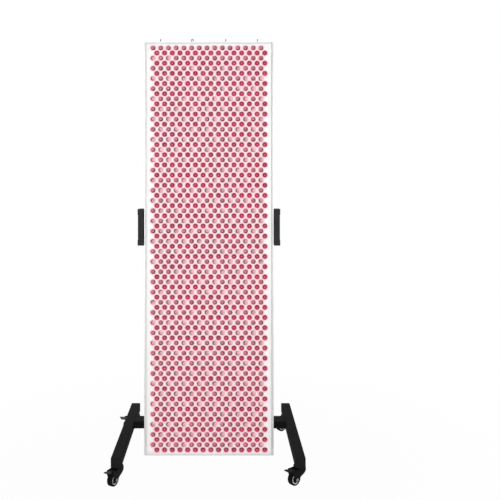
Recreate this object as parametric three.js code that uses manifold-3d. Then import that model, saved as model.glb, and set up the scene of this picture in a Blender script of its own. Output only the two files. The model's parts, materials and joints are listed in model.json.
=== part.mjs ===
// Red light therapy panel: a tall white LED panel that tilts on a black wheeled stand.
// Millimetres. X runs to the right as the viewer faces the lamps, the lamps face -Y, +Z is up.
// The origin is on the floor, under the middle of the unit's plan with its castors.

import * as THREE from 'three';
import { mergeVertices } from 'three/addons/utils/BufferGeometryUtils.js';
import Module from 'manifold-3d';

const wasm = await Module();
wasm.setup();

// Fits shared by the whole unit.
const runningGap = 0.3;
const cutOverrun = 2;
const pinSides = 8;

// Panel casing.
const panelWidth = 516;
const panelHeight = 1650;
const casingDepth = 60;
const panelFloorGap = 51;
const panelFront = -157;
const sheetWall = 2;
const chamferWidth = 11;
const chamferDepth = 7;
const lipReach = 16;
const platePocket = 12;
const plateThickness = 2;
const coverThickness = 1.5;
const coverInset = 1;

// Lamp field: staggered rows, clear near-infrared rows between red rows.
const lampColumns = 15;
const lampRows = 80;
const lampSheets = 2;
const lampEdgeGap = 4.85;
const lampEndMargin = 27.5;
const lensRise = 3.2;
const lensSkirt = 0.8;

// Lamp boards and heat sink behind the front plate.
const boardDepth = 8;
const boardThickness = 1.6;
const boardMargin = 6;
const boardSeam = 3;
const plugBlockLength = 26;
const plugBlockWidth = 9;
const plugBlockRise = 3;
const sinkBase = 3;
const sinkFinHeight = 9;
const sinkFinThickness = 2.5;
const sinkFins = 13;
const sinkFinMargin = 24;

// Fans on the rear cover.
const fanSize = 120;
const fanDepth = 25;
const fanBore = 57;
const fanSides = 20;
const fanHub = 19;
const fanStrut = 6;
const fanStrutDepth = 3.5;
const fanShaft = 2.5;
const fanTipGap = 2.5;
const fanBlades = 7;
const fanBladeChord = 20;
const fanBladeThickness = 1.6;
const fanBladeTwist = THREE.MathUtils.degToRad(52);
const fanRotorInset = 3;
const fanHeightShares = [0.15, 0.5, 0.85];
const guardThickness = 2.4;
const guardWire = 2.2;
const guardHubRadius = 12;
const guardEar = 7;
const guardBar = 4;
const guardRingSides = [10, 14, 18];

// Lamp drivers on the rear cover, inside.
const driverLength = 260;
const driverWidth = 72;
const driverHeight = 30;
const driverFoot = 14;
const driverFootThickness = 3;
const driverHeightShares = [0.31, 0.69];

// Air slots of the rear cover.
const slotLength = 70;
const slotWidth = 5;
const slotPitch = 16;
const slotCount = 6;
const slotColumnOffset = 150;

// Power inlet and switches, low on the rear cover.
const serviceHeight = 175;
const inletSideInset = 93;
const flangeThickness = 2;
const inletFlangeWidth = 50;
const inletFlangeHeight = 32;
const inletBodyWidth = 32;
const inletBodyHeight = 26;
const inletBodyDepth = 24;
const inletCavityWidth = 25;
const inletCavityHeight = 17;
const inletCavityDepth = 17;
const inletPinWidth = 4;
const inletPinThickness = 2;
const inletPinLength = 11;
const inletPinPitch = 7;
const inletPinDrop = 2;
const switchSpacing = 70;
const switchFlangeWidth = 50;
const switchFlangeHeight = 32;
const switchBodyWidth = 42;
const switchBodyHeight = 26;
const switchBodyDepth = 20;
const rockerWidth = 14;
const rockerLength = 19;
const rockerPitch = 19;
const rockerEndRise = 3.4;
const rockerMidRise = 2.2;
const rockerSink = 3;
const rockerFootInset = 1.5;
const rockerEndGap = 1.4;
const rockerWellDepth = 9;
const rockerPivotDepth = 1;
const rockerLean = THREE.MathUtils.degToRad(12);

// Lifting eyes on the top rail.
const eyeOffsets = [-194, -67, 67, 194];
const eyeTurns = [90, 25, 90, 90].map(THREE.MathUtils.degToRad);
const eyeRingRadius = 5.1;
const eyeWireRadius = 1.5;
const eyeCollarRadius = 5;
const eyeCollarHeight = 1.5;
const eyeSink = 1;
const eyeShankRadius = 2.5;
const eyeShankLength = 14;
const eyeRingSteps = 14;
const eyeWireSides = 6;

// Tilt axis and the yoke that carries the panel.
const pivotHeight = 961;
const armGap = 0.5;
const armWidth = 25;
const armHeight = 145;
const armDepth = 56;
const armWall = 3;
const armStep = 1.5;
const armEndHeight = 23;
const tabThickness = 8;
const tiltBoltRadius = 6;
const tiltBoltHeadRadius = 11;
const tiltBoltHead = 8;
const tiltBoltReach = 14;
const yokeReach = 55;
const yokeBar = 40;
const yokeWall = 2.5;
const stubWidth = 50;
const collarWall = 7;
const collarHeight = 90;

// Mast and cross beam.
const mastSize = 60;
const mastWall = 3;
const mastRise = 79;
const mastFootWidth = 110;
const mastFootThickness = 5;
const capFlange = 3;
const capInsert = 14;
const beamDepth = 76;
const beamHeight = 30;
const beamWall = 2.5;
const beamSetback = 103;

// Legs.
const legSpacing = 692;
const legWidth = 40;
const legHeight = 40;
const legWall = 2.5;
const legLength = 614;
const castorInset = 35;

// Castors. Their own frame has the swivel axis as Z and the wheel trailing along +X.
const castorHeight = 70;
const wheelRadius = 25;
const wheelSides = 16;
const wheelWidth = 22;
const treadEdge = 2;
const rimRadius = 18;
const webRadius = 16.5;
const webHalf = 5;
const hubRadius = 9;
const trail = 28;
const axleRadius = 4;
const axleHeadRadius = 7;
const axleHead = 2.5;
const cheekGap = 27;
const cheekThickness = 3;
const cheekBack = 19;
const cheekFront = 45;
const cheekWaist = 48;
const cheekBoss = 10;
const cheekHaunch = 6;
const swivelHeadRadius = 23;
const swivelHeadHeight = 8;
const bridgeReach = 19;
const bridgeThickness = 5;
const stemRadius = 5.5;
const stemLength = 30;
const pedalPivotX = 38;
const pedalPivotZ = 55.5;
const pedalHubRadius = 4;
const pedalPinRadius = 2;
const pedalPlate = 3.5;
const pedalReach = 68;
const pedalRise = 4;
const pedalNeckEnd = 48.5;
const pedalNeckWidth = 23;
const pedalWingWidth = 36;
const pedalTipWidth = 28;
const pedalNoseDrop = 6.5;
const pedalNoseStart = -2;
const pedalNoseEnd = 5;
const castorPlaces = [
  { tag: 'front_left', side: -1, end: -1, turn: 27 },
  { tag: 'front_right', side: 1, end: -1, turn: 52 },
  { tag: 'rear_left', side: -1, end: 1, turn: 70 },
  { tag: 'rear_right', side: 1, end: 1, turn: 58 },
];

const finish = (color, roughness, metalness) => (
  new THREE.MeshStandardMaterial({ color, roughness, metalness })
);
const whitePowder = finish(0xf4f1f2, 0.45, 0);
const blackPowder = finish(0x1c1c1d, 0.6, 0);
const lensAcrylic = finish(0xd0506e, 0.15, 0);
const boardLaminate = finish(0xf2f2ee, 0.5, 0);
const bareAluminium = finish(0xb9bcc0, 0.4, 0.9);
const zincSteel = finish(0xa9abad, 0.35, 0.9);
const blackPlastic = finish(0x161617, 0.5, 0);
const castorRubber = finish(0x222223, 0.75, 0);
const driverShell = finish(0x9c9fa3, 0.5, 0.8);
const pressedSteel = finish(0x19191a, 0.5, 0.3);

/** A closed geometry as a solid that can be joined and cut. */
function solidOf(geometry) {
  const bare = geometry.clone();
  bare.deleteAttribute('normal');
  bare.deleteAttribute('uv');
  const merged = mergeVertices(bare);
  return new wasm.Manifold(new wasm.Mesh({
    numProp: 3,
    vertProperties: new Float32Array(merged.attributes.position.array),
    triVerts: new Uint32Array(merged.index.array),
  }));
}

/** A joined or cut solid as a geometry again. */
function geometryOf(solid) {
  const mesh = solid.getMesh();
  const geometry = new THREE.BufferGeometry();
  geometry.setAttribute('position', new THREE.BufferAttribute(mesh.vertProperties, 3));
  geometry.setIndex(new THREE.BufferAttribute(mesh.triVerts, 1));
  geometry.computeVertexNormals();
  return geometry;
}

/** Several overlapping geometries joined into one. */
function join(...pieces) {
  return geometryOf(pieces.map(solidOf).reduce((sum, piece) => sum.add(piece)));
}

/** A geometry with others cut out of it. */
function cut(base, ...tools) {
  return geometryOf(tools.map(solidOf).reduce((rest, tool) => rest.subtract(tool), solidOf(base)));
}

/** A box between two opposite corners. */
function block([x0, x1], [y0, y1], [z0, z1]) {
  const box = new THREE.BoxGeometry(x1 - x0, y1 - y0, z1 - z0);
  return box.translate((x0 + x1) / 2, (y0 + y1) / 2, (z0 + z1) / 2);
}

/** The range of a given width about a middle. */
const about = (middle, width) => [middle - width / 2, middle + width / 2];

/** A many-sided rod along X, Y or Z, its other two places given in X, Y, Z order. */
function rod(axis, radius, [start, end], [first, second], sides = pinSides) {
  const geometry = new THREE.CylinderGeometry(radius, radius, end - start, sides);
  const middle = (start + end) / 2;
  if (axis === 'x') return geometry.rotateZ(-Math.PI / 2).translate(middle, first, second);
  if (axis === 'y') return geometry.translate(first, middle, second);
  return geometry.rotateX(Math.PI / 2).translate(first, second, middle);
}

/** Radius of a many-sided hole that clears a pin turning in it. */
const holeFor = (radius, sides = pinSides) => (radius + runningGap) / Math.cos(Math.PI / sides);

/** A closed outline through points. */
const outline = (points) => new THREE.Shape(points.map(([u, v]) => new THREE.Vector2(u, v)));

/** A rectangular outline. */
function rectangle([u0, u1], [v0, v1]) {
  return outline([[u0, v0], [u1, v0], [u1, v1], [u0, v1]]);
}

/** Points round an arc, ends included. */
function arcPoints([u, v], radius, from, to, steps) {
  return Array.from({ length: steps + 1 }, (_, step) => {
    const angle = from + ((to - from) * step) / steps;
    return [u + radius * Math.cos(angle), v + radius * Math.sin(angle)];
  });
}

/** A many-sided closed ring of points, for holes. */
const ringPoints = (centre, radius, sides) => (
  arcPoints(centre, radius, 0, 2 * Math.PI * (1 - 1 / sides), sides - 1)
);

/** An outline in X and Z, given depth from one Y to another. */
function slab(shape, [y0, y1]) {
  const geometry = new THREE.ExtrudeGeometry(shape, { depth: y1 - y0, bevelEnabled: false });
  return geometry.rotateX(Math.PI / 2).translate(0, y1, 0);
}

/** An outline in X and Y, raised from one Z to another. */
function column(shape, [z0, z1]) {
  const geometry = new THREE.ExtrudeGeometry(shape, { depth: z1 - z0, bevelEnabled: false });
  return geometry.translate(0, 0, z0);
}

/** An outline in Y and Z, run from one X to another. */
function beam(shape, [x0, x1]) {
  const geometry = new THREE.ExtrudeGeometry(shape, { depth: x1 - x0, bevelEnabled: false });
  return geometry.rotateX(Math.PI / 2).rotateZ(Math.PI / 2).translate(x0, 0, 0);
}

/** A rectangular outline with a wall all round a hollow. */
function tubeOutline(rangeU, rangeV, wall) {
  const shape = rectangle(rangeU, rangeV);
  shape.holes.push(rectangle([rangeU[0] + wall, rangeU[1] - wall], [rangeV[0] + wall, rangeV[1] - wall]));
  return shape;
}

/** Hangs a named piece in a group. */
function piece(group, name, geometry, material) {
  const mesh = new THREE.Mesh(geometry, material);
  mesh.name = name;
  group.add(mesh);
  return mesh;
}

const unit = new THREE.Group();

// Places that several pieces share.
const panelBottom = panelFloorGap;
const panelTop = panelBottom + panelHeight;
const panelBack = panelFront + casingDepth;
const panelMiddle = (panelFront + panelBack) / 2;
const panelLow = (share) => panelBottom + share * panelHeight;
const side = panelWidth / 2;
const coverInner = panelBack - coverThickness;
const plateFront = panelFront + sheetWall;
const plateBack = plateFront + plateThickness;
const boardFront = panelFront + boardDepth;
const boardBack = boardFront + boardThickness;
const legTop = castorHeight + legHeight;
const beamTop = legTop;
const beamBottom = beamTop - beamHeight;
const mastTop = pivotHeight + mastRise;
const armInner = side + armGap;

/**
 * Casing rail: a bent sheet channel with a chamfered front corner, cut at 45 degrees at both ends.
 * Its section has u running inwards from the outer face and v running back from the front.
 */
function railGeometry(length, ...holes) {
  const depth = casingDepth - coverThickness;
  const slope = Math.hypot(chamferWidth, chamferDepth);
  const innerStart = (sheetWall * (slope - chamferWidth)) / chamferDepth;
  const innerLip = (sheetWall * (slope - chamferDepth)) / chamferWidth;
  const section = outline([
    [0, chamferDepth], [chamferWidth, 0], [lipReach, 0], [lipReach, sheetWall],
    [chamferWidth + innerStart, sheetWall], [sheetWall, chamferDepth + innerLip],
    [sheetWall, depth - sheetWall], [lipReach, depth - sheetWall], [lipReach, depth], [0, depth],
  ]);
  const geometry = new THREE.ExtrudeGeometry(section, { depth: length, bevelEnabled: false });
  geometry.translate(0, 0, -length / 2);
  const place = geometry.attributes.position;
  for (let index = 0; index < place.count; index += 1) {
    const along = place.getZ(index);
    place.setZ(index, along - Math.sign(along) * place.getX(index));
  }
  return holes.length ? cut(geometry, ...holes) : geometry;
}

/** The four rails of the casing, each turned so that its section faces the middle. */
function addRails(group) {
  const height = (panelTop + panelBottom) / 2;
  const boltHole = rod('x', holeFor(tiltBoltRadius), [-cutOverrun, sheetWall + cutOverrun],
    [panelMiddle - panelFront, 0]);
  const eyeHoles = eyeOffsets.map((offset) => (
    rod('x', holeFor(eyeShankRadius), [-cutOverrun, sheetWall + cutOverrun],
      [panelMiddle - panelFront, offset])));
  const left = railGeometry(panelHeight, boltHole.clone().translate(0, 0, pivotHeight - height));
  piece(group, 'rail_left', left.translate(-side, panelFront, height), whitePowder);
  const right = railGeometry(panelHeight, boltHole.clone().translate(0, 0, height - pivotHeight));
  right.rotateY(Math.PI);
  piece(group, 'rail_right', right.translate(side, panelFront, height), whitePowder);
  const top = railGeometry(panelWidth, ...eyeHoles).rotateY(Math.PI / 2);
  piece(group, 'rail_top', top.translate(0, panelFront, panelTop), whitePowder);
  const bottom = railGeometry(panelWidth).rotateY(-Math.PI / 2);
  piece(group, 'rail_bottom', bottom.translate(0, panelFront, panelBottom), whitePowder);
}

/** The white plate that the lenses stand in, held behind the lips of the rails. */
function addFrontPlate(group) {
  const shape = rectangle([platePocket - side, side - platePocket],
    [panelBottom + platePocket, panelTop - platePocket]);
  piece(group, 'front_plate', slab(shape, [plateFront, plateBack]), whitePowder);
}

// The lamps fill the plate: half a pitch of stagger across, whole rows from end to end.
const lampPitchX = (panelWidth - 2 * (lipReach + lampEdgeGap)) / (lampColumns + 1 / 2);
const lampPitchZ = (panelHeight - 2 * lampEndMargin) / (lampRows - 1);
const fieldTop = panelTop - lampEndMargin;
const fieldLeft = -((lampColumns - 1 / 2) / 2) * lampPitchX;
const rowHeight = (row) => fieldTop - row * lampPitchZ;
const rowStart = (row) => fieldLeft + (row % 2 ? lampPitchX / 2 : 0);

/**
 * One lens sheet: each lamp of a staggered row stands in a six-sided cell that rises to a low peak.
 * The cell corners are the points equally far from three lamps, so neighbours share their edges.
 * The outer rows stop short of the lips of the rails.
 */
function lensSheetGeometry(firstRow, rows) {
  const halfX = lampPitchX / 2;
  const near = (lampPitchZ ** 2 - halfX ** 2) / (2 * lampPitchZ);
  const far = lampPitchZ - near;
  const front = plateFront - lensSkirt;
  const peak = front - lensRise;
  const last = firstRow + rows - 1;
  const endOf = (row) => rowStart(row) + (lampColumns - 1) * lampPitchX;
  const triangles = [];
  const clear = (z) => THREE.MathUtils.clamp(z,
    panelBottom + lipReach + runningGap, panelTop - lipReach - runningGap);
  const corners = (x, z) => [
    [x, clear(z - far)], [x + halfX, z - near], [x + halfX, z + near],
    [x, clear(z + far)], [x - halfX, z + near], [x - halfX, z - near],
  ];
  for (let row = firstRow; row <= last; row += 1) {
    for (let lamp = 0; lamp < lampColumns; lamp += 1) {
      const x = rowStart(row) + lamp * lampPitchX;
      const z = rowHeight(row);
      const ring = corners(x, z);
      ring.forEach(([u, v], index) => {
        const [nextU, nextV] = ring[(index + 1) % ring.length];
        triangles.push([x, peak, z], [u, front, v], [nextU, front, nextV]);
      });
    }
  }
  const edge = [];
  for (let lamp = 0; lamp < lampColumns; lamp += 1) {
    const x = rowStart(last) + lamp * lampPitchX;
    edge.push([x - halfX, rowHeight(last) - near], [x, clear(rowHeight(last) - far)]);
  }
  for (let row = last; row >= firstRow; row -= 1) {
    edge.push([endOf(row) + halfX, rowHeight(row) - near], [endOf(row) + halfX, rowHeight(row) + near]);
  }
  for (let lamp = lampColumns - 1; lamp >= 0; lamp -= 1) {
    const x = rowStart(firstRow) + lamp * lampPitchX;
    edge.push([x, clear(rowHeight(firstRow) + far)], [x - halfX, rowHeight(firstRow) + near]);
  }
  for (let row = firstRow; row <= last; row += 1) {
    const x = rowStart(row) - halfX;
    if (row > firstRow) edge.push([x, rowHeight(row) + near]);
    if (row < last) edge.push([x, rowHeight(row) - near]);
  }
  edge.forEach(([u, v], index) => {
    const [nextU, nextV] = edge[(index + 1) % edge.length];
    triangles.push([u, plateFront, v], [nextU, plateFront, nextV], [nextU, front, nextV]);
    triangles.push([u, plateFront, v], [nextU, front, nextV], [u, front, v]);
  });
  const flat = edge.map(([u, v]) => new THREE.Vector2(u, v));
  THREE.ShapeUtils.triangulateShape(flat, []).forEach(([a, b, c]) => {
    [a, c, b].forEach((corner) => triangles.push([edge[corner][0], plateFront, edge[corner][1]]));
  });
  const geometry = new THREE.BufferGeometry();
  geometry.setAttribute('position', new THREE.Float32BufferAttribute(triangles.flat(), 3));
  geometry.computeVertexNormals();
  return geometry;
}

/** Lens sheets, lamp boards and the finned heat sink that carries the boards. */
function addLampStack(group) {
  const rows = lampRows / lampSheets;
  const halfBoard = (lampColumns * lampPitchX) / 2 + boardMargin;
  for (let sheet = 0; sheet < lampSheets; sheet += 1) {
    const first = sheet * rows;
    piece(group, `lens_sheet_${sheet + 1}`, lensSheetGeometry(first, rows), lensAcrylic);
    const high = rowHeight(first) + lampPitchZ / 2 - boardSeam / 2;
    const low = rowHeight(first + rows - 1) - lampPitchZ / 2 + boardSeam / 2;
    const board = block([-halfBoard, halfBoard], [boardFront, boardBack], [low, high]);
    const plug = block(about(0, plugBlockLength), [boardFront - plugBlockRise, boardBack],
      about((low + high) / 2, plugBlockWidth));
    piece(group, `led_board_${sheet + 1}`, join(board, plug), boardLaminate);
  }
  const sinkSide = side - sheetWall;
  const baseBack = boardBack + sinkBase;
  const finBack = baseBack + sinkFinHeight;
  const finSpan = 2 * (sinkSide - sinkFinMargin) - sinkFinThickness;
  const comb = [[-sinkSide, boardBack], [sinkSide, boardBack], [sinkSide, baseBack]];
  for (let fin = sinkFins - 1; fin >= 0; fin -= 1) {
    const x = (fin / (sinkFins - 1) - 1 / 2) * finSpan;
    const [low, high] = about(x, sinkFinThickness);
    comb.push([high, baseBack], [high, finBack], [low, finBack], [low, baseBack]);
  }
  comb.push([-sinkSide, baseBack]);
  piece(group, 'heat_sink', column(outline(comb), [panelBottom + sheetWall, panelTop - sheetWall]),
    bareAluminium);
}

const serviceZ = panelBottom + serviceHeight;
const inletOffset = side - inletSideInset;
const switchOffset = inletOffset - switchSpacing;

/** The rear cover, with its fan openings, air slots and service cut-outs. */
function addRearCover(group) {
  const reach = side - coverInset;
  const through = [coverInner - cutOverrun, panelBack + cutOverrun];
  const sheet = block([-reach, reach], [coverInner, panelBack],
    [panelBottom + coverInset, panelTop - coverInset]);
  const fanHoles = fanHeightShares.map((share) => (
    rod('y', fanBore, through, [0, panelLow(share)], fanSides)));
  const slots = driverHeightShares.flatMap((share) => (
    [-slotColumnOffset, slotColumnOffset].flatMap((x) => (
      Array.from({ length: slotCount }, (_, slot) => {
        const z = panelLow(share) + (slot - (slotCount - 1) / 2) * slotPitch;
        return block(about(x, slotLength), through, about(z, slotWidth));
      })))));
  const cutOut = (x, width, height) => (
    block(about(x, width + 2 * runningGap), through, about(serviceZ, height + 2 * runningGap)));
  piece(group, 'rear_cover', cut(sheet, ...fanHoles, ...slots,
    cutOut(inletOffset, inletBodyWidth, inletBodyHeight),
    cutOut(switchOffset, switchBodyWidth, switchBodyHeight)), whitePowder);
}

/** Rotor with twisted blades on a hub and a short shaft, turning about the Y axis. */
function rotorGeometry(z) {
  const front = coverInner - fanDepth + fanRotorInset;
  const back = coverInner - fanStrutDepth - runningGap;
  const middle = (front + back) / 2;
  const tip = fanBore - fanTipGap;
  const root = fanHub - fanStrut;
  const blades = Array.from({ length: fanBlades }, (_, index) => {
    const blade = new THREE.BoxGeometry(fanBladeThickness, fanBladeChord, tip - root);
    blade.rotateZ(fanBladeTwist).translate(0, 0, (tip + root) / 2);
    return blade.rotateY((index * 2 * Math.PI) / fanBlades).translate(0, middle, z);
  });
  const hub = rod('y', fanHub, [front, back], [0, z]);
  const shaft = rod('y', fanShaft, [middle, coverInner - runningGap], [0, z]);
  return join(hub, shaft, ...blades);
}

/** Fan frame: a square housing with a round bore and four struts to the motor plate. */
function fanFrameGeometry(z) {
  const struts = [coverInner - fanStrutDepth, coverInner];
  const span = 2 * fanBore + fanStrut / 2;
  const housing = rectangle(about(0, fanSize), about(z, fanSize));
  housing.holes.push(outline(ringPoints([0, z], fanBore, fanSides)));
  const frame = join(slab(housing, [coverInner - fanDepth, coverInner]),
    block(about(0, span), struts, about(z, fanStrut)),
    block(about(0, fanStrut), struts, about(z, span)),
    rod('y', fanHub, struts, [0, z]));
  return cut(frame, rod('y', holeFor(fanShaft), [struts[0] - cutOverrun, struts[1] + cutOverrun], [0, z]));
}

/** Finger guard: flat rings on two crossed bars, with an ear at each corner. */
function guardGeometry(z) {
  const layer = [panelBack, panelBack + guardThickness];
  const pitch = (fanBore - guardHubRadius) / (guardRingSides.length - 1);
  const rings = guardRingSides.map((sides, index) => {
    const radius = guardHubRadius + index * pitch;
    const ring = outline(ringPoints([0, z], radius, sides));
    ring.holes.push(outline(ringPoints([0, z], radius - guardWire, sides)));
    return slab(ring, layer);
  });
  const reach = fanSize / 2 - guardEar;
  const ears = [-1, 1].flatMap((right) => [-1, 1].map((up) => (
    rod('y', guardEar, layer, [right * reach, z + up * reach]))));
  const bars = [-1, 1].map((lean) => (
    block(about(0, guardBar), layer, about(0, 2 * Math.hypot(reach, reach)))
      .rotateY((lean * Math.PI) / 4).translate(0, 0, z)));
  return join(...rings, ...bars, ...ears);
}

/** Three fans, each a frame and rotor behind the cover and a guard over it. */
function addFans(group) {
  fanHeightShares.forEach((share, index) => {
    const z = panelLow(share);
    piece(group, `fan_frame_${index + 1}`, fanFrameGeometry(z), blackPlastic);
    piece(group, `fan_rotor_${index + 1}`, rotorGeometry(z), blackPlastic);
    piece(group, `fan_guard_${index + 1}`, guardGeometry(z), zincSteel);
  });
}

/** Two lamp drivers, one for each kind of row, with feet flat on the rear cover. */
function addDrivers(group) {
  driverHeightShares.forEach((share, index) => {
    const z = panelLow(share);
    const body = block(about(0, driverWidth), [coverInner - driverHeight, coverInner],
      about(z, driverLength));
    const feet = block(about(0, driverWidth), [coverInner - driverFootThickness, coverInner],
      about(z, driverLength + 2 * driverFoot));
    piece(group, `lamp_driver_${index + 1}`, join(body, feet), driverShell);
  });
}

/** Power inlet: a flanged socket with a recess and three blades. */
function addInlet(group) {
  const outer = panelBack + flangeThickness;
  const body = join(
    block(about(inletOffset, inletFlangeWidth), [panelBack, outer], about(serviceZ, inletFlangeHeight)),
    block(about(inletOffset, inletBodyWidth), [panelBack - inletBodyDepth, outer],
      about(serviceZ, inletBodyHeight)));
  const floor = outer - inletCavityDepth;
  const recess = block(about(inletOffset, inletCavityWidth), [floor, outer + cutOverrun],
    about(serviceZ, inletCavityHeight));
  const pins = [-1, 0, 1].map((place) => block(
    about(inletOffset + place * inletPinPitch, inletPinThickness),
    [floor - cutOverrun, floor + inletPinLength],
    about(serviceZ + (place ? -inletPinDrop : inletPinDrop), inletPinWidth)));
  piece(group, 'power_inlet', join(cut(body, recess), ...pins), blackPlastic);
}

/** Switch block with two wells and a rocker in each, one for each kind of lamp. */
function addSwitches(group) {
  const outer = panelBack + flangeThickness;
  const pivotY = outer - rockerPivotDepth;
  const wellLength = rockerLength + 2 * rockerEndGap;
  const body = join(
    block(about(switchOffset, switchFlangeWidth), [panelBack, outer], about(serviceZ, switchFlangeHeight)),
    block(about(switchOffset, switchBodyWidth), [panelBack - switchBodyDepth, outer],
      about(serviceZ, switchBodyHeight)));
  const places = [-1 / 2, 1 / 2].map((step) => switchOffset + step * rockerPitch);
  const wells = places.map((x) => block(about(x, rockerWidth + 2 * runningGap),
    [outer - rockerWellDepth, outer + cutOverrun], about(serviceZ, wellLength)));
  piece(group, 'switch_block', cut(body, ...wells), blackPlastic);
  const half = rockerLength / 2;
  const foot = half - rockerFootInset;
  const section = outline([
    [-rockerSink, -foot], [rockerEndRise, -half], [rockerMidRise, 0], [rockerEndRise, half],
    [-rockerSink, foot],
  ]);
  ['red', 'infrared'].forEach((kind, index) => {
    const rocker = beam(section, about(0, rockerWidth)).rotateX(rockerLean);
    rocker.translate(places[index], pivotY, serviceZ);
    piece(group, `rocker_${kind}`, rocker, blackPlastic);
  });
}

/** Lifting eyes: a ring on a collar, with a shank through the top rail. */
function addEyes(group) {
  const ringHeight = eyeCollarHeight + eyeRingRadius + eyeWireRadius - eyeSink;
  eyeOffsets.forEach((offset, index) => {
    const ring = new THREE.TorusGeometry(eyeRingRadius, eyeWireRadius, eyeWireSides, eyeRingSteps);
    ring.rotateX(Math.PI / 2).rotateZ(eyeTurns[index]).translate(0, 0, ringHeight);
    const eye = join(ring,
      rod('z', eyeCollarRadius, [0, eyeCollarHeight], [0, 0]),
      rod('z', eyeShankRadius, [-eyeShankLength, eyeCollarHeight], [0, 0]));
    piece(group, `lifting_eye_${index + 1}`, eye.translate(offset, panelMiddle, panelTop), zincSteel);
  });
}

const armFront = panelMiddle - armDepth / 2;
const armBack = panelMiddle + armDepth / 2;
const yokeFront = panelMiddle + yokeReach;
const yokeBack = yokeFront + yokeBar;
const yokeLevel = about(pivotHeight, yokeBar);

/** One side arm: an outward-facing channel with blocks at its ends and a tab back to the yoke. */
function armGeometry() {
  const outer = armInner + armWidth - armStep;
  const channel = outline([
    [armInner, armFront], [outer, armFront], [outer, armFront + armWall],
    [armInner + armWall, armFront + armWall], [armInner + armWall, armBack - armWall],
    [outer, armBack - armWall], [outer, armBack], [armInner, armBack],
  ]);
  const [low, high] = about(pivotHeight, armHeight);
  const end = [armInner, armInner + armWidth];
  const arm = join(column(channel, [low + armWall, high - armWall]),
    block(end, [armFront, armBack], [low, low + armEndHeight]),
    block(end, [armFront, armBack], [high - armEndHeight, high]),
    block([armInner, armInner + tabThickness], [armBack - armWall, yokeBack], yokeLevel));
  return cut(arm, rod('x', holeFor(tiltBoltRadius),
    [armInner - cutOverrun, armInner + armWall + cutOverrun], [panelMiddle, pivotHeight]));
}

/** Side arms and the bolts that the panel tilts on. */
function addArms(group) {
  const webOuter = armInner + armWall;
  const bolt = join(
    rod('x', tiltBoltRadius, [side - tiltBoltReach, webOuter + tiltBoltHead / 2],
      [panelMiddle, pivotHeight]),
    rod('x', tiltBoltHeadRadius, [webOuter, webOuter + tiltBoltHead], [panelMiddle, pivotHeight]));
  const turned = (geometry) => (
    geometry.clone().translate(0, -panelMiddle, 0).rotateZ(Math.PI).translate(0, panelMiddle, 0));
  const arm = armGeometry();
  const leftArm = solidOf(arm).mirror([1, 0, 0]);
  piece(group, 'arm_right', arm, blackPowder);
  piece(group, 'arm_left', geometryOf(leftArm), blackPowder);
  piece(group, 'tilt_bolt_right', bolt, zincSteel);
  piece(group, 'tilt_bolt_left', turned(bolt), zincSteel);
}

/** Yoke: a square tube behind the panel, a stub and a collar round the mast. */
function addYoke(group) {
  const bar = beam(tubeOutline([yokeFront, yokeBack], yokeLevel, yokeWall), [-armInner, armInner]);
  const hollow = mastSize + 2 * runningGap;
  const collarSize = hollow + 2 * collarWall;
  const collarFront = beamSetback - collarSize / 2;
  const collar = column(tubeOutline(about(0, collarSize), about(beamSetback, collarSize), collarWall),
    about(pivotHeight, collarHeight));
  const stub = block(about(0, stubWidth), [yokeBack - yokeWall / 2, collarFront + collarWall / 2],
    about(pivotHeight, yokeBar - yokeWall));
  piece(group, 'yoke', join(bar, stub, collar), blackPowder);
}

/** Upright mast on the cross beam, with a plug in its top. */
function addMast(group) {
  const middle = about(beamSetback, mastSize);
  const tube = column(tubeOutline(about(0, mastSize), middle, mastWall), [beamTop, mastTop]);
  const foot = block(about(0, mastFootWidth), about(beamSetback, beamDepth),
    [beamTop, beamTop + mastFootThickness]);
  piece(group, 'mast', join(tube, foot), blackPowder);
  const insert = mastSize - 2 * (mastWall + runningGap);
  piece(group, 'mast_cap', join(
    block(about(0, mastSize), middle, [mastTop, mastTop + capFlange]),
    block(about(0, insert), about(beamSetback, insert), [mastTop - capInsert, mastTop + capFlange / 2])),
  blackPlastic);
}

const legX = legSpacing / 2;
const castorY = legLength / 2 - castorInset;

/** Two legs with plugs in their ends, and the flat beam between them. */
function addBase(group) {
  const legInner = legX - legWidth / 2;
  const hollow = tubeOutline(about(beamSetback, beamDepth), [beamBottom, beamTop], beamWall);
  piece(group, 'cross_beam', beam(hollow, [-legInner, legInner]), blackPowder);
  const tubeEnd = legLength / 2 - capFlange;
  [['left', -1], ['right', 1]].forEach(([tag, sideSign]) => {
    const across = about(sideSign * legX, legWidth);
    const tube = slab(tubeOutline(across, [castorHeight, legTop], legWall), [-tubeEnd, tubeEnd]);
    const holes = [-1, 1].map((end) => rod('z', holeFor(stemRadius),
      [castorHeight - cutOverrun, castorHeight + legWall + cutOverrun], [sideSign * legX, end * castorY]));
    piece(group, `leg_${tag}`, cut(tube, ...holes), blackPowder);
    const gap = legWall + runningGap;
    [['front', -1], ['rear', 1]].forEach(([endTag, end]) => {
      const spanOf = (from, to) => [Math.min(end * from, end * to), Math.max(end * from, end * to)];
      const flange = block(across, spanOf(tubeEnd, legLength / 2), [castorHeight, legTop]);
      const insert = block(about(sideSign * legX, legWidth - 2 * gap),
        spanOf(tubeEnd - capInsert, tubeEnd + capFlange / 2), [castorHeight + gap, legTop - gap]);
      piece(group, `leg_cap_${endTag}_${tag}`, join(flange, insert), blackPlastic);
    });
  });
}

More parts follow.
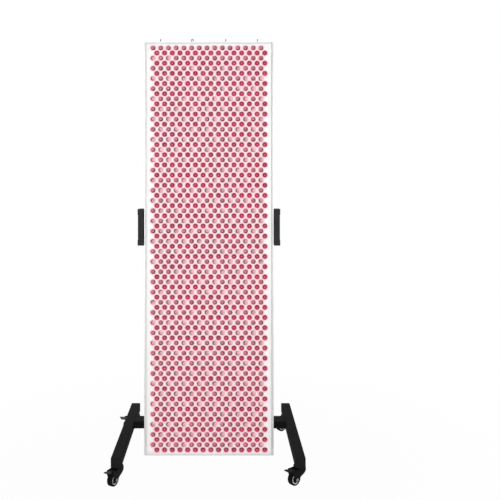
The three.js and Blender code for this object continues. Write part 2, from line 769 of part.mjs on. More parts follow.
/** Pressed fork with its swivel head and stem, in the castor's own frame. */
function forkGeometry() {
  const headTop = castorHeight - runningGap;
  const headBottom = headTop - swivelHeadHeight;
  const bridgeBottom = headBottom - bridgeThickness;
  const half = cheekGap / 2;
  const profile = outline([
    [-cheekBack, headBottom], [-cheekBack, cheekWaist],
    ...arcPoints([trail, wheelRadius], cheekBoss, (7 * Math.PI) / 6, 2 * Math.PI, 4),
    [cheekFront, pedalPivotZ - cheekHaunch], [cheekFront, headBottom],
  ]);
  profile.holes.push(outline(ringPoints([trail, wheelRadius], holeFor(axleRadius), pinSides)));
  profile.holes.push(outline(ringPoints([pedalPivotX, pedalPivotZ], holeFor(pedalPinRadius), pinSides)));
  const cheeks = [[-half - cheekThickness, -half], [half, half + cheekThickness]].map((range) => (
    slab(profile, range)));
  const bridge = block([-cheekBack, bridgeReach], [-half - cheekThickness / 2, half + cheekThickness / 2],
    [bridgeBottom, headBottom + bridgeThickness / 2]);
  return join(...cheeks, bridge,
    rod('z', swivelHeadRadius, [headBottom - bridgeThickness / 4, headTop], [0, 0], wheelSides),
    rod('z', stemRadius, [headBottom, headTop + stemLength], [0, 0]));
}

/** Wheel with tread, rim, web and hub, resting on one flat of its tread. */
function wheelGeometry() {
  const flatToCorner = 1 / Math.cos(Math.PI / wheelSides);
  const halfTread = wheelWidth / 2;
  const halfHub = cheekGap / 2 - runningGap;
  const bore = holeFor(axleRadius, wheelSides);
  const section = [
    [bore, -halfHub], [hubRadius, -halfHub], [hubRadius, -webHalf], [webRadius, -webHalf],
    [rimRadius, -halfTread], [wheelRadius - treadEdge, -halfTread], [wheelRadius, treadEdge - halfTread],
    [wheelRadius, halfTread - treadEdge], [wheelRadius - treadEdge, halfTread], [rimRadius, halfTread],
    [webRadius, webHalf], [hubRadius, webHalf], [hubRadius, halfHub], [bore, halfHub],
    [bore, -halfHub],
  ];
  const points = section.map(([radius, across]) => new THREE.Vector2(
    radius === bore ? radius : radius * flatToCorner, across));
  const geometry = new THREE.LatheGeometry(points, wheelSides, Math.PI / wheelSides);
  return geometry.translate(trail, 0, wheelRadius);
}

/** Axle with a head on each side. */
function axleGeometry() {
  const seat = cheekGap / 2 + cheekThickness + runningGap;
  const points = [
    [0, -seat - axleHead], [axleHeadRadius, -seat - axleHead], [axleHeadRadius, -seat],
    [axleRadius, -seat], [axleRadius, seat], [axleHeadRadius, seat],
    [axleHeadRadius, seat + axleHead], [0, seat + axleHead],
  ].map(([radius, across]) => new THREE.Vector2(radius, across));
  return new THREE.LatheGeometry(points, pinSides).translate(trail, 0, wheelRadius);
}

/** Brake pedal: a winged plate on a hub with two pins, and a nose over the tread. */
function pedalGeometry() {
  const neck = outline([
    [pedalPivotX, -pedalNeckWidth / 2], [pedalNeckEnd, -pedalNeckWidth / 2],
    [pedalNeckEnd, -pedalWingWidth / 2], [pedalReach, -pedalTipWidth / 2],
    [pedalReach, pedalTipWidth / 2], [pedalNeckEnd, pedalWingWidth / 2],
    [pedalNeckEnd, pedalNeckWidth / 2], [pedalPivotX, pedalNeckWidth / 2],
  ]);
  const plate = column(neck, [pedalPivotZ, pedalPivotZ + pedalPlate]);
  const lift = Math.atan2(pedalRise, pedalReach - pedalPivotX);
  plate.translate(-pedalPivotX, 0, -pedalPivotZ).rotateY(-lift).translate(pedalPivotX, 0, pedalPivotZ);
  const nose = slab(outline([
    [pedalPivotX + pedalNoseStart, pedalPivotZ], [pedalPivotX, pedalPivotZ - pedalNoseDrop],
    [pedalPivotX + pedalNoseEnd / 2, pedalPivotZ - pedalNoseDrop],
    [pedalPivotX + pedalNoseEnd, pedalPivotZ],
  ]), about(0, pedalNeckWidth));
  const hubHalf = cheekGap / 2 - runningGap;
  const pinHalf = cheekGap / 2 + cheekThickness;
  return join(plate, nose,
    rod('y', pedalHubRadius, [-hubHalf, hubHalf], [pedalPivotX, pedalPivotZ]),
    rod('y', pedalPinRadius, [-pinHalf, pinHalf], [pedalPivotX, pedalPivotZ]));
}

/** Four castors, each turned about its swivel axis as it was left standing. */
function addCastors(group) {
  castorPlaces.forEach(({ tag, side: sideSign, end, turn }) => {
    const castor = new THREE.Group();
    castor.position.set(sideSign * legX, end * castorY, 0);
    castor.rotation.z = -Math.PI / 2 - THREE.MathUtils.degToRad(turn);
    piece(castor, `castor_fork_${tag}`, forkGeometry(), pressedSteel);
    piece(castor, `castor_wheel_${tag}`, wheelGeometry(), castorRubber);
    piece(castor, `castor_axle_${tag}`, axleGeometry(), zincSteel);
    piece(castor, `castor_brake_${tag}`, pedalGeometry(), pressedSteel);
    group.add(castor);
  });
}

const panel = new THREE.Group();
addRails(panel);
addFrontPlate(panel);
addLampStack(panel);
addRearCover(panel);
addFans(panel);
addDrivers(panel);
addInlet(panel);
addSwitches(panel);
addEyes(panel);
const stand = new THREE.Group();
addArms(stand);
addYoke(stand);
addMast(stand);
addBase(stand);
addCastors(stand);
unit.add(panel, stand);

// The whole unit moves so that the origin lies under the middle of its plan.
const plan = new THREE.Box3().setFromObject(unit, true);
unit.position.set(-(plan.min.x + plan.max.x) / 2, -(plan.min.y + plan.max.y) / 2, -plan.min.z);
unit.updateMatrixWorld(true);

export default unit;
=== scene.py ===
"""Looks of a red light therapy panel on a wheeled stand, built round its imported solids.

Sizes are millimetres until a shape becomes a mesh. X runs to the right of a person who faces the
lamps, the lamps face -Y and +Z is up.
"""

import json
import logging
import math
from dataclasses import dataclass, field
from enum import Enum
from typing import Any, Mapping, Sequence

import bmesh
import bpy
import numpy as np
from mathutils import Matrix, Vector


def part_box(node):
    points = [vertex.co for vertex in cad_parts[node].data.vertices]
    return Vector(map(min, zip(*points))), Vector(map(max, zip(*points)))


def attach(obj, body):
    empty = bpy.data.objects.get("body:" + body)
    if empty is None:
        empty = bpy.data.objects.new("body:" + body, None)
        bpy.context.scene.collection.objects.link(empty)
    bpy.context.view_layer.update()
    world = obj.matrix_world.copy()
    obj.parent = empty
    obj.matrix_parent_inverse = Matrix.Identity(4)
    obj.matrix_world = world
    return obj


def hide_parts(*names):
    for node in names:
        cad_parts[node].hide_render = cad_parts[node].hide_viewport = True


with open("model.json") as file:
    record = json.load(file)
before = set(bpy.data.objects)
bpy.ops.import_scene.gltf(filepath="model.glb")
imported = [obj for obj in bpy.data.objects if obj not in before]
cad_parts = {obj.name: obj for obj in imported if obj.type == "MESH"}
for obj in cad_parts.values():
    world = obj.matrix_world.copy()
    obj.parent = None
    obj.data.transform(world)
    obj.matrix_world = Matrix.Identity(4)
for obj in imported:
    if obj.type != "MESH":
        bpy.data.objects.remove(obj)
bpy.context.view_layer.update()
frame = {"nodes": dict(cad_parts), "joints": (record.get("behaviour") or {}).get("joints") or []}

MM = 0.001
LOG = logging.getLogger("therapy_panel")

Pair = tuple[float, float]
Socket = bpy.types.NodeSocket
Tree = bpy.types.NodeTree


# Colours and nodes.


def linear(code: str) -> tuple[float, float, float, float]:
    """Turns an sRGB hex colour into the linear colour that shaders take.

    Args:
        code: six hex digits, such as "F4F2F3".

    Returns:
        Linear red, green, blue and an alpha of one.
    """
    values = (int(code[place:place + 2], 16) / 255 for place in (0, 2, 4))
    red, green, blue = (v / 12.92 if v <= 0.04045 else ((v + 0.055) / 1.055) ** 2.4 for v in values)
    return red, green, blue, 1.0


def add_node(tree: Tree, kind: str, inputs: Mapping[Any, Any] | None = None,
             **settings: Any) -> bpy.types.Node:
    """Adds one node with its settings, its values and its links.

    Args:
        tree: node tree that takes the node.
        kind: Blender's type name of the node.
        inputs: value, or output socket to link, for each input by name or number.
        **settings: properties of the node, such as operation.

    Returns:
        The new node.
    """
    node = tree.nodes.new(kind)
    for key, value in settings.items():
        setattr(node, key, value)
    for key, value in (inputs or {}).items():
        if isinstance(value, Socket):
            tree.links.new(value, node.inputs[key])
        else:
            node.inputs[key].default_value = value
    return node


def shaded(tree: Tree, pattern: Socket, span: Pair, first: Any, second: Any) -> Socket:
    """Colour that turns from one to another as a pattern goes over a span, by a smooth step.

    Args:
        tree: node tree that takes the nodes.
        pattern: pattern that the colour follows.
        span: the pattern where the first colour ends and where the second begins, in any order.
        first: colour or socket at the span's start.
        second: colour or socket at its end.

    Returns:
        The colour.
    """
    share = add_node(tree, "ShaderNodeMapRange", {
        "Value": pattern, "From Min": span[0], "From Max": span[1]},
        interpolation_type="SMOOTHSTEP")
    return add_node(tree, "ShaderNodeMix", {0: share.outputs["Result"], 6: first, 7: second},
                    data_type="RGBA").outputs[2]


def new_material(name: str, **sockets: Any) -> tuple[bpy.types.Material, bpy.types.Node]:
    """Material with one surface shader.

    Args:
        name: what the material is.
        **sockets: values of the shader's own sockets, with underscores for blanks.

    Returns:
        The material and its shader node.
    """
    material = bpy.data.materials.new(name)
    material.use_nodes = True
    shader = material.node_tree.nodes["Principled BSDF"]
    for key, value in sockets.items():
        shader.inputs[key.replace("_", " ")].default_value = value
    return material, shader


def link_skin(tree: Tree, shader: bpy.types.Node, colour: Socket, gloss: Socket, roughness: Pair,
              relief: Socket, depth: float, strength: float) -> None:
    """Links a colour, a roughness that follows one pattern and a relief that follows another.

    Args:
        tree: node tree of the material.
        shader: surface shader that takes the links.
        colour: colour of the skin.
        gloss: pattern that the roughness follows.
        roughness: roughness where that pattern is nought, and where it is one.
        relief: pattern that the relief follows.
        depth: depth of the relief, in millimetres.
        strength: strength of the relief.
    """
    rough = add_node(tree, "ShaderNodeMapRange", {
        "Value": gloss, "To Min": roughness[0], "To Max": roughness[1]})
    bump = add_node(tree, "ShaderNodeBump", {
        "Height": relief, "Distance": depth * MM, "Strength": strength})
    for socket, name in ((colour, "Base Color"), (rough.outputs["Result"], "Roughness"),
                         (bump.outputs["Normal"], "Normal")):
        tree.links.new(socket, shader.inputs[name])


def seen_by_eye(tree: Tree) -> Socket:
    """One for rays from the camera and for those that a gloss or a clear piece passes on.

    Args:
        tree: node tree that tells the rays apart.

    Returns:
        One for such a ray, nought for any other.
    """
    path = add_node(tree, "ShaderNodeLightPath")
    passed_on = add_node(tree, "ShaderNodeMath", {
        0: path.outputs["Is Glossy Ray"], 1: path.outputs["Is Transmission Ray"]},
        operation="MAXIMUM")
    return add_node(tree, "ShaderNodeMath", {
        0: path.outputs["Is Camera Ray"], 1: passed_on.outputs[0]}, operation="MAXIMUM").outputs[0]


# Finishes.


@dataclass(frozen=True)
class PowderCoat:
    """Baked polyester powder on metal: an even colour, with a skin of low waves in its gloss.

    The real waves are about 1 mm across, too fine for a view of the whole unit, so they are
    drawn several times as wide.
    """

    name: str
    colour: str
    shade: str
    roughness: float
    specular: float
    wave: float
    depth: float
    swing: float = 0.06
    relief: float = 0.6

    def material(self) -> bpy.types.Material:
        """Builds the material.

        Returns:
            The material.
        """
        material, shader = new_material(self.name, Specular_IOR_Level=self.specular)
        tree = material.node_tree
        place = add_node(tree, "ShaderNodeTexCoord").outputs["Object"]
        peel = add_node(tree, "ShaderNodeTexNoise", {
            "Vector": place, "Scale": 1 / (self.wave * MM), "Detail": 3.0}).outputs["Fac"]
        cloud = add_node(tree, "ShaderNodeTexNoise", {
            "Vector": place, "Scale": 1 / (12 * self.wave * MM), "Detail": 2.0}).outputs["Fac"]
        colour = shaded(tree, cloud, (0.3, 0.7), linear(self.shade), linear(self.colour))
        link_skin(tree, shader, colour, peel,
                  (self.roughness - self.swing, self.roughness + self.swing),
                  peel, self.depth, self.relief)
        return material


@dataclass(frozen=True)
class Moulding:
    """Injection-moulded plastic or rubber: a dull, finely grained skin with faint flow marks."""

    name: str
    colour: str
    roughness: float
    specular: float = 0.5
    grain: float = 1.5
    depth: float = 0.08
    coat: float = 0.0
    swing: float = 0.08
    relief: float = 0.5

    def material(self) -> bpy.types.Material:
        """Builds the material.

        Returns:
            The material.
        """
        material, shader = new_material(self.name, Specular_IOR_Level=self.specular,
                                        Coat_Weight=self.coat, Coat_Roughness=0.08)
        tree = material.node_tree
        place = add_node(tree, "ShaderNodeTexCoord").outputs["Object"]
        grain = add_node(tree, "ShaderNodeTexVoronoi", {
            "Vector": place, "Scale": 1 / (self.grain * MM)}).outputs["Distance"]
        flow = add_node(tree, "ShaderNodeTexNoise", {
            "Vector": place, "Scale": 1 / (14 * self.grain * MM), "Detail": 4.0}).outputs["Fac"]
        base = linear(self.colour)
        lighter = tuple(min(1.0, channel * 1.25 + 0.002) for channel in base[:3]) + (1.0,)
        colour = shaded(tree, flow, (0.35, 0.75), base, lighter)
        link_skin(tree, shader, colour, flow,
                  (self.roughness - self.swing, self.roughness + self.swing),
                  grain, self.depth, self.relief)
        return material


@dataclass(frozen=True)
class Metal:
    """Bare or plated metal: grey gloss, crossed by the fine streaks of drawing or rolling."""

    name: str
    colour: str
    shade: str
    roughness: float
    streak: tuple[float, float, float] = (1.0, 1.0, 8.0)
    pitch: float = 2.0
    swing: Pair = (0.08, 0.1)
    depth: float = 0.02
    relief: float = 0.4

    def material(self) -> bpy.types.Material:
        """Builds the material.

        Returns:
            The material.
        """
        material, shader = new_material(self.name, Metallic=1.0)
        tree = material.node_tree
        place = add_node(tree, "ShaderNodeTexCoord").outputs["Object"]
        drawn = add_node(tree, "ShaderNodeMapping", {
            "Vector": place, "Scale": tuple(1 / s for s in self.streak)}).outputs["Vector"]
        streaks = add_node(tree, "ShaderNodeTexNoise", {
            "Vector": drawn, "Scale": 1 / (self.pitch * MM), "Detail": 4.0}).outputs["Fac"]
        colour = shaded(tree, streaks, (0.3, 0.7), linear(self.shade), linear(self.colour))
        link_skin(tree, shader, colour, streaks,
                  (self.roughness - self.swing[0], self.roughness + self.swing[1]),
                  streaks, self.depth, self.relief)
        return material


@dataclass(frozen=True)
class Lattice:
    """The staggered field of lamps: clear rows from the top, each followed by a red row."""

    left: float
    top: float
    pitch_x: float
    pitch_z: float
    columns: int = 15
    rows: int = 80

    def centres(self, red: bool) -> np.ndarray:
        """Centres of the lamps of one kind.

        Row r lies r pitches under the top one, and red rows are moved right by half a pitch.

        Args:
            red: True for the red rows.

        Returns:
            One row of X and Z for each lamp.
        """
        first = 1 if red else 0
        rows = np.arange(first, self.rows, 2)
        x = self.left + (np.arange(self.columns) + first / 2) * self.pitch_x
        z = self.top - rows * self.pitch_z
        grid_x, grid_z = np.meshgrid(x, z)
        return np.stack([grid_x.ravel(), grid_z.ravel()], axis=1)

    def distance(self, tree: Tree, place: Socket, red: bool) -> Socket:
        """Distance in millimetres from a point to the nearest lamp of one kind.

        Along each axis the place is counted in pitches, rounded, held within the field and taken
        away; the two remainders are the legs of a right angle.

        Args:
            tree: node tree that does the sum.
            place: object coordinates in metres.
            red: True for the red rows.

        Returns:
            The distance.
        """
        parts = add_node(tree, "ShaderNodeSeparateXYZ", {0: place})
        centres = self.centres(red)
        spans = ((parts.outputs["X"], centres[:, 0].min(), self.pitch_x, self.columns - 1),
                 (parts.outputs["Z"], centres[:, 1].min(), 2 * self.pitch_z, self.rows / 2 - 1))
        squares = []
        for value, start, pitch, last in spans:
            count = add_node(tree, "ShaderNodeMath", {
                0: value, 1: 1 / (pitch * MM), 2: -start / pitch}, operation="MULTIPLY_ADD")
            result = count
            for operation, others in (("ROUND", ()), ("MAXIMUM", (0.0,)),
                                      ("MINIMUM", (float(last),))):
                result = add_node(tree, "ShaderNodeMath", dict(enumerate(
                    (result.outputs[0], *others))), operation=operation)
            rest = add_node(tree, "ShaderNodeMath", {
                0: count.outputs[0], 1: result.outputs[0]}, operation="SUBTRACT")
            leg = add_node(tree, "ShaderNodeMath", {
                0: rest.outputs[0], 1: pitch}, operation="MULTIPLY").outputs[0]
            squares.append(add_node(tree, "ShaderNodeMath", {0: leg, 1: leg},
                                    operation="MULTIPLY").outputs[0])
        total = add_node(tree, "ShaderNodeMath", {0: squares[0], 1: squares[1]}, operation="ADD")
        return add_node(tree, "ShaderNodeMath", {0: total.outputs[0]}, operation="SQRT").outputs[0]


@dataclass(frozen=True)
class LampPlateCoatWithPaintedGlow:
    """White powder coat with the lamps' light painted on: a rosy glow round each lens, nearly white
    between.
    """

    lattice: Lattice
    name: str = "white_powder_coat_with_painted_lamp_glow"
    colour: str = "F7F3F2"
    # Colours of the painted lamp light: the glow between lenses and the rings round the red and
    # infrared lenses.
    glow: str = "FFE6EA"
    ring: str = "FFA6BA"
    faint_painted_glow_ring: str = "FFC6D0"
    lens_radius: float = 9.1
    reach: float = 5.0
    spread: float = 17.0

    def material(self) -> bpy.types.Material:
        """Builds the material.

        Returns:
            The material.
        """
        material, shader = new_material(self.name, Roughness=0.45, Specular_IOR_Level=0.4)
        tree = material.node_tree
        place = add_node(tree, "ShaderNodeTexCoord").outputs["Object"]
        away = [self.lattice.distance(tree, place, red) for red in (False, True)]
        nearest = add_node(tree, "ShaderNodeMath", {0: away[0], 1: away[1]},
                           operation="MINIMUM").outputs[0]
        # Painted light: a rosy glow that grows from the spread in to the lens edge, then a stronger
        # painted ring at each lens.
        edge = self.lens_radius + self.reach
        colour = shaded(tree, nearest, (self.spread, edge), linear(self.colour), linear(self.glow))
        for distance, tint in zip(away, (self.faint_painted_glow_ring, self.ring)):
            colour = shaded(tree, distance, (edge, self.lens_radius), colour, linear(tint))
        tree.links.new(colour, shader.inputs["Base Color"])
        return material


@dataclass(frozen=True)
class LensAcrylic:
    """Clear moulded acrylic over a lamp: a glossy bead whose edge gathers the dark of its cup,
    painted as shade.

    Red lamps show a crimson rim of painted shade round a rosy middle, the lit lamp's glow painted
    into the colour. Near-infrared lamps give no visible light, so theirs show a pink cup with a
    painted dark crescent of shade low on the right and a painted highlight on the small chip, or,
    under the other wavelength's lamps, a pale cup with a thin painted crescent of shade on the
    left.
    """

    name: str
    # rim and its span: painted shade at the lens's edge; the chip's colour, place and size: a
    # painted highlight.
    rim: str
    cup: str
    middle: str
    chip_highlight: str
    pale: str
    pale_middle: str
    offset: Pair
    shade_rim_span: Pair
    middle_size: Pair
    chip_highlight_place: Pair
    chip_highlight_size: Pair
    pale_shift: float = 0.16
    core_span: Pair = (1.1, 0.35)
    level_span: Pair = (0.78, 1.14)

    def material(self) -> bpy.types.Material:
        """Builds the material; the lens's own UV map gives its middle as (0.5, 0.5).

        Returns:
            The material.
        """
        material, shader = new_material(self.name, Roughness=0.18, IOR=1.49)
        tree = material.node_tree
        uv = add_node(tree, "ShaderNodeUVMap", uv_map="lens").outputs["UV"]
        turn, share, pale = (
            add_node(tree, "ShaderNodeAttribute", attribute_name=name).outputs["Fac"]
            for name in ("lamp_turn", "lamp_share", "lamp_pale"))
        centred = add_node(tree, "ShaderNodeVectorMath", {0: uv, 1: (0.5, 0.5, 0.0)},
                           operation="SUBTRACT").outputs["Vector"]
        local = add_node(tree, "ShaderNodeVectorMath", {0: centred, 1: (2.0, 2.0, 0.0)},
                         operation="MULTIPLY").outputs["Vector"]
        turned = add_node(tree, "ShaderNodeVectorRotate", {"Vector": local, "Angle": turn},
                          rotation_type="Z_AXIS").outputs["Vector"]

        def away(point: Pair, size: Pair) -> Socket:
            """Distance from a point of the lens, in sizes across and along.

            Args:
                point: the point, where 1 is the lens's edge.
                size: unit across and along.

            Returns:
                The distance.
            """
            shifted = add_node(tree, "ShaderNodeVectorMath", {0: turned, 1: (*point, 0.0)},
                               operation="SUBTRACT").outputs["Vector"]
            scaled = add_node(tree, "ShaderNodeVectorMath", {
                0: shifted, 1: (1 / size[0], 1 / size[1], 0.0)}, operation="MULTIPLY")
            return add_node(tree, "ShaderNodeVectorMath", {0: scaled.outputs["Vector"]},
                            operation="LENGTH").outputs["Value"]

        cup, middle = (
            add_node(tree, "ShaderNodeMix", {0: pale, 6: linear(usual), 7: linear(other)},
                     data_type="RGBA").outputs[2]
            for usual, other in ((self.cup, self.pale), (self.middle, self.pale_middle)))
        # For the red lamps the brighter middle is the lit lamp's glow, painted into the colour.
        body = shaded(tree, away((0.0, 0.0), self.middle_size), self.core_span, cup, middle)
        # Painted shade: a dark rim, drawn off centre so that it forms a crescent.
        shrunk = add_node(tree, "ShaderNodeMath", {
            0: pale, 1: -self.pale_shift, 2: away(self.offset, (1.0, 1.0))},
            operation="MULTIPLY_ADD").outputs[0]
        shade_rimmed = shaded(tree, shrunk, self.shade_rim_span, body, linear(self.rim))
        # Painted highlight: a bright spot on the chip.
        chip_highlight = shaded(tree, away(self.chip_highlight_place, self.chip_highlight_size), (1.0, 0.3), shade_rimmed,
                      linear(self.chip_highlight))
        level = add_node(tree, "ShaderNodeMapRange", {
            "Value": share, "To Min": self.level_span[0],
            "To Max": self.level_span[1]}).outputs["Result"]
        tinted = add_node(tree, "ShaderNodeHueSaturation", {"Value": level, "Color": chip_highlight})
        tree.links.new(tinted.outputs["Color"], shader.inputs["Base Color"])
        return material


# Smooth powder baked on sheet steel: a clean, nearly white satin whose gloss wavers very slightly.
WHITE_POWDER = PowderCoat("white_polyester_powder_coat", "F0F0EF", "EBEBEA", 0.42, 0.4, 5.0, 0.05)
# Sand-textured powder on tube: a deep black whose fine grain breaks the shine into a dull sheen.
BLACK_POWDER = PowderCoat("black_textured_powder_coat", "19191A", "131314", 0.8, 0.03, 4.0, 0.18)
# Smooth powder on the bent arms: charcoal, a shade lighter than the stand, and quite matt.
BRACKET_POWDER = PowderCoat("charcoal_smooth_powder_coat", "343435", "2E2E2F", 0.7, 0.05, 5.0, 0.06)
# Dipped paint on pressed castor plate: near black and a little slicker, so its edges catch light.
PRESSED_STEEL = PowderCoat("black_painted_pressed_steel", "0E0E0F", "0A0A0B", 0.55, 0.06, 6.0, 0.06)
# Glass-filled nylon from a spark-eroded mould: a soft black with faint, slow flow marks.
BLACK_NYLON = Moulding("black_moulded_nylon", "131314", 0.6, 0.06)
# Vulcanised rubber: a flat black that scatters nearly all light, with a coarse grain from wear.
TREAD_RUBBER = Moulding("black_rubber_tread", "0F0F10", 0.75, 0.05, 2.2, 0.12)
# Unpainted polypropylene: a pale, slightly waxy grey ring that stands out from the black tread.
RIM_PLASTIC = Moulding("pale_grey_moulded_polypropylene", "D6D9DA", 0.45)
# Tinted polycarbonate with a polished face: a clear red with sharp, wet-looking lights.
RED_ROCKER = Moulding("red_polycarbonate", "A81822", 0.3, 0.5, coat=0.6)
# Glass-fibre laminate under white solder mask: a slightly yellow white with a smooth skin.
BOARD_MASK = Moulding("white_solder_mask_laminate", "EDEDE8", 0.4)
# Bright zinc plate on screws, bolts and wire: a cool grey mirror, blurred by fine drawing lines.
ZINC = Metal("zinc_plated_steel", "B4B8BA", "8F9496", 0.34)
# Old zinc plate on the eyes and axles: the same grey gone darker and duller.
DARK_ZINC = Metal("dull_zinc_plated_steel", "8E9394", "6C7172", 0.42)
# Nickel over brass on the contact pins: a warm, bright grey.
BRASS = Metal("nickel_plated_brass", "D8D2C2", "B9B3A4", 0.25)
# Mill-finished extrusion: a soft grey with long streaks down the fins.
ALUMINIUM = Metal("bare_extruded_aluminium", "C4C7CA", "A6AAAE", 0.38)
# Clear acrylic over a red lamp: a glossy crimson bead with its lit glow painted in, darkest at its
# rim by painted shade, with a painted highlight on its chip.
RED_LENS = LensAcrylic("clear_acrylic_over_red_lamp", "5C001C", "BC1644", "C82650", "E8829A",
                       "C82650", "C82650", (-0.1, -0.14), (0.5, 1.02), (0.5, 0.9), (0.06, -0.04),
                       (0.32, 0.12))
# Clear acrylic over a near-infrared lamp: a dusty pink bead with a painted dark crescent of shade
# and a painted highlight on its chip, some paler.
CLEAR_LENS = LensAcrylic("clear_acrylic_over_infrared_lamp", "480418", "CE7C8E", "BC5870", "F4BCC8",
                         "F6D2D6", "D68E9C", (-0.28, 0.22), (0.48, 1.2), (0.75, 0.75), (0.14, -0.1),
                         (0.26, 0.2), 0.02)


class Paint:
    """Keeps one material for each finish."""

    made: dict[str, bpy.types.Material] = {}

    @classmethod
    def of(cls, finish: Any) -> bpy.types.Material:
        """Material of a finish, built when it is first asked for.

        Args:
            finish: a finish with a name and a material.

        Returns:
            Its one material.
        """
        if finish.name not in cls.made:
            cls.made[finish.name] = finish.material()
        return cls.made[finish.name]


# Shapes.


class Axis(Enum):
    """Direction that a shape runs in; its outline lies across it, in the other two axes' order."""

    X = ((0, 1, 0), (0, 0, 1), (1, 0, 0))
    Y = ((1, 0, 0), (0, 0, 1), (0, 1, 0))
    Z = ((1, 0, 0), (0, 1, 0), (0, 0, 1))


@dataclass
class Shape:
    """Points in millimetres and the faces between them, in groups of equal corner count."""

    points: np.ndarray
    faces: list[np.ndarray]

    def __add__(self, other: "Shape") -> "Shape":
        """Both shapes as one."""
        moved = [group + len(self.points) for group in other.faces]
        return Shape(np.concatenate([self.points, other.points]), self.faces + moved)

    def placed(self, basis: Any = Axis.Z.value, origin: Sequence[float] = (0, 0, 0)) -> "Shape":
        """The shape with its own axes laid along the rows of basis, and moved to origin."""
        return Shape(self.points @ np.asarray(basis, float) + np.asarray(origin, float), self.faces)

    def repeated(self, shifts: np.ndarray) -> "Shape":
        """Copies of the shape, one for each row of shifts.

        Args:
            shifts: one row of three for each copy.

        Returns:
            All copies as one shape.
        """
        count, size = len(shifts), len(self.points)
        points = (self.points[None, :, :] + shifts[:, None, :]).reshape(-1, 3)
        steps = (np.arange(count) * size)[:, None, None]
        return Shape(points, [(group[None] + steps).reshape(-1, group.shape[1])
                              for group in self.faces])


def joined(shapes: Sequence[Shape]) -> Shape:
    """Several shapes as one.

    Args:
        shapes: the shapes, at least one.

    Returns:
        One shape of all their points and faces.
    """
    total = shapes[0]
    for shape in shapes[1:]:
        total = total + shape
    return total


def grid(points: np.ndarray, close_rows: bool = False, close_columns: bool = False) -> Shape:
    """Surface through a grid of points.

    Args:
        points: rows by columns by three.
        close_rows: joins the last row to the first.
        close_columns: joins the last column to the first.

    Returns:
        One four-cornered face for each cell.
    """
    rows, columns = points.shape[:2]
    index = np.arange(rows * columns).reshape(rows, columns)
    if close_rows:
        index = np.vstack([index, index[:1]])
    if close_columns:
        index = np.hstack([index, index[:, :1]])
    cells = np.stack([index[:-1, :-1], index[:-1, 1:], index[1:, 1:], index[1:, :-1]], axis=-1)
    return Shape(points.reshape(-1, 3), [cells.reshape(-1, 4)])


def loft(rings: np.ndarray) -> Shape:
    """Closed solid through rings of equal count, with a flat face over each end ring.

    Args:
        rings: rings by points by three.

    Returns:
        The closed solid.
    """
    shape = grid(rings, close_columns=True)
    rows, columns = rings.shape[:2]
    first = np.arange(columns)[None, ::-1]
    last = np.arange(columns)[None] + (rows - 1) * columns
    return Shape(shape.points, shape.faces + [first, last])


def level_rings(outlines: Sequence[np.ndarray], levels: Sequence[float]) -> np.ndarray:
    """Outlines set at levels along the third axis, as rings."""
    return np.stack([np.column_stack([outline, np.full(len(outline), level)])
                     for outline, level in zip(outlines, levels)])


def turned_rings(profile: Sequence[Pair], sides: int) -> np.ndarray:
    """Rings of points about the third axis, one for each radius and height of the profile.

    Args:
        profile: radius and height of each ring.
        sides: points round each ring.

    Returns:
        Rings by points by three.
    """
    radius, height = np.asarray(profile, float).T
    angle = np.arange(sides) * 2 * np.pi / sides
    return np.stack([np.outer(radius, np.cos(angle)), np.outer(radius, np.sin(angle)),
                     np.repeat(height[:, None], sides, axis=1)], axis=-1)


def spoke(angle: float) -> np.ndarray:
    """Axes of a piece that points outwards at an angle about the third axis."""
    ahead = np.array([math.cos(angle), math.sin(angle), 0.0])
    return np.array([ahead, (-ahead[1], ahead[0], 0.0), (0.0, 0.0, 1.0)])


def mirrored(profile: Sequence[Pair]) -> list[Pair]:
    """A whole profile from its lower half, whose heights come back with the other sign."""
    return list(profile) + [(radius, -height) for radius, height in reversed(profile)]


def lathe(profile: Sequence[Pair], sides: int, closed: bool = False) -> Shape:
    """Turned solid about the third axis.

    Each point is (radius cos a, radius sin a, height), the profile giving radius and height.

    Args:
        profile: radius and height of each ring.
        sides: points round each ring.
        closed: joins the last ring to the first, for a ring with a bore.

    Returns:
        The solid.
    """
    rings = turned_rings(profile, sides)
    return grid(rings, close_rows=True, close_columns=True) if closed else loft(rings)


def rounded_rectangle(width: float, height: float, radius: float | Sequence[float],
                      steps: int = 4) -> np.ndarray:
    """Outline of a rectangle about the origin, with a quarter circle at each corner.

    Args:
        width: size along the first axis.
        height: size along the second axis.
        radius: radius of all corners, or of each from the upper right, anticlockwise.
        steps: spans of each quarter circle.

    Returns:
        Points anticlockwise.
    """
    radii = np.broadcast_to(np.asarray(radius, float), (4,))
    signs = np.array([(1, 1), (-1, 1), (-1, -1), (1, -1)])
    middles = signs * (np.array([width, height]) / 2 - radii[:, None])
    angle = (np.arange(4)[:, None] + np.linspace(0, 1, steps + 1)[None]) * np.pi / 2
    arcs = np.stack([np.cos(angle), np.sin(angle)], axis=-1) * radii[:, None, None]
    return (middles[:, None, :] + arcs).reshape(-1, 2)


def rounded_block(size: Sequence[float], corner: float, edge: float, steps: int = 2) -> Shape:
    """Block about the origin with rounded corners and rolled top and bottom edges.

    Each ring is the outline drawn in by edge (1 - cos a) and raised by edge (1 - sin a) from the
    end, with a from 0 to a right angle.

    Args:
        size: width, depth and height.
        corner: radius of the upright corners.
        edge: radius of the edges round the top and bottom.
        steps: rings of each rolled edge.

    Returns:
        The block.
    """
    angle = np.linspace(0, np.pi / 2, steps + 1)
    inset = edge * (1 - np.cos(angle))
    rise = edge * (1 - np.sin(angle))
    levels = np.concatenate([rise[::-1] - size[2] / 2, size[2] / 2 - rise])
    outlines = [rounded_rectangle(size[0] - 2 * pull, size[1] - 2 * pull,
                                  max(corner - pull, 0.05), 3)
                for pull in np.concatenate([inset[::-1], inset])]
    return loft(level_rings(outlines, levels))


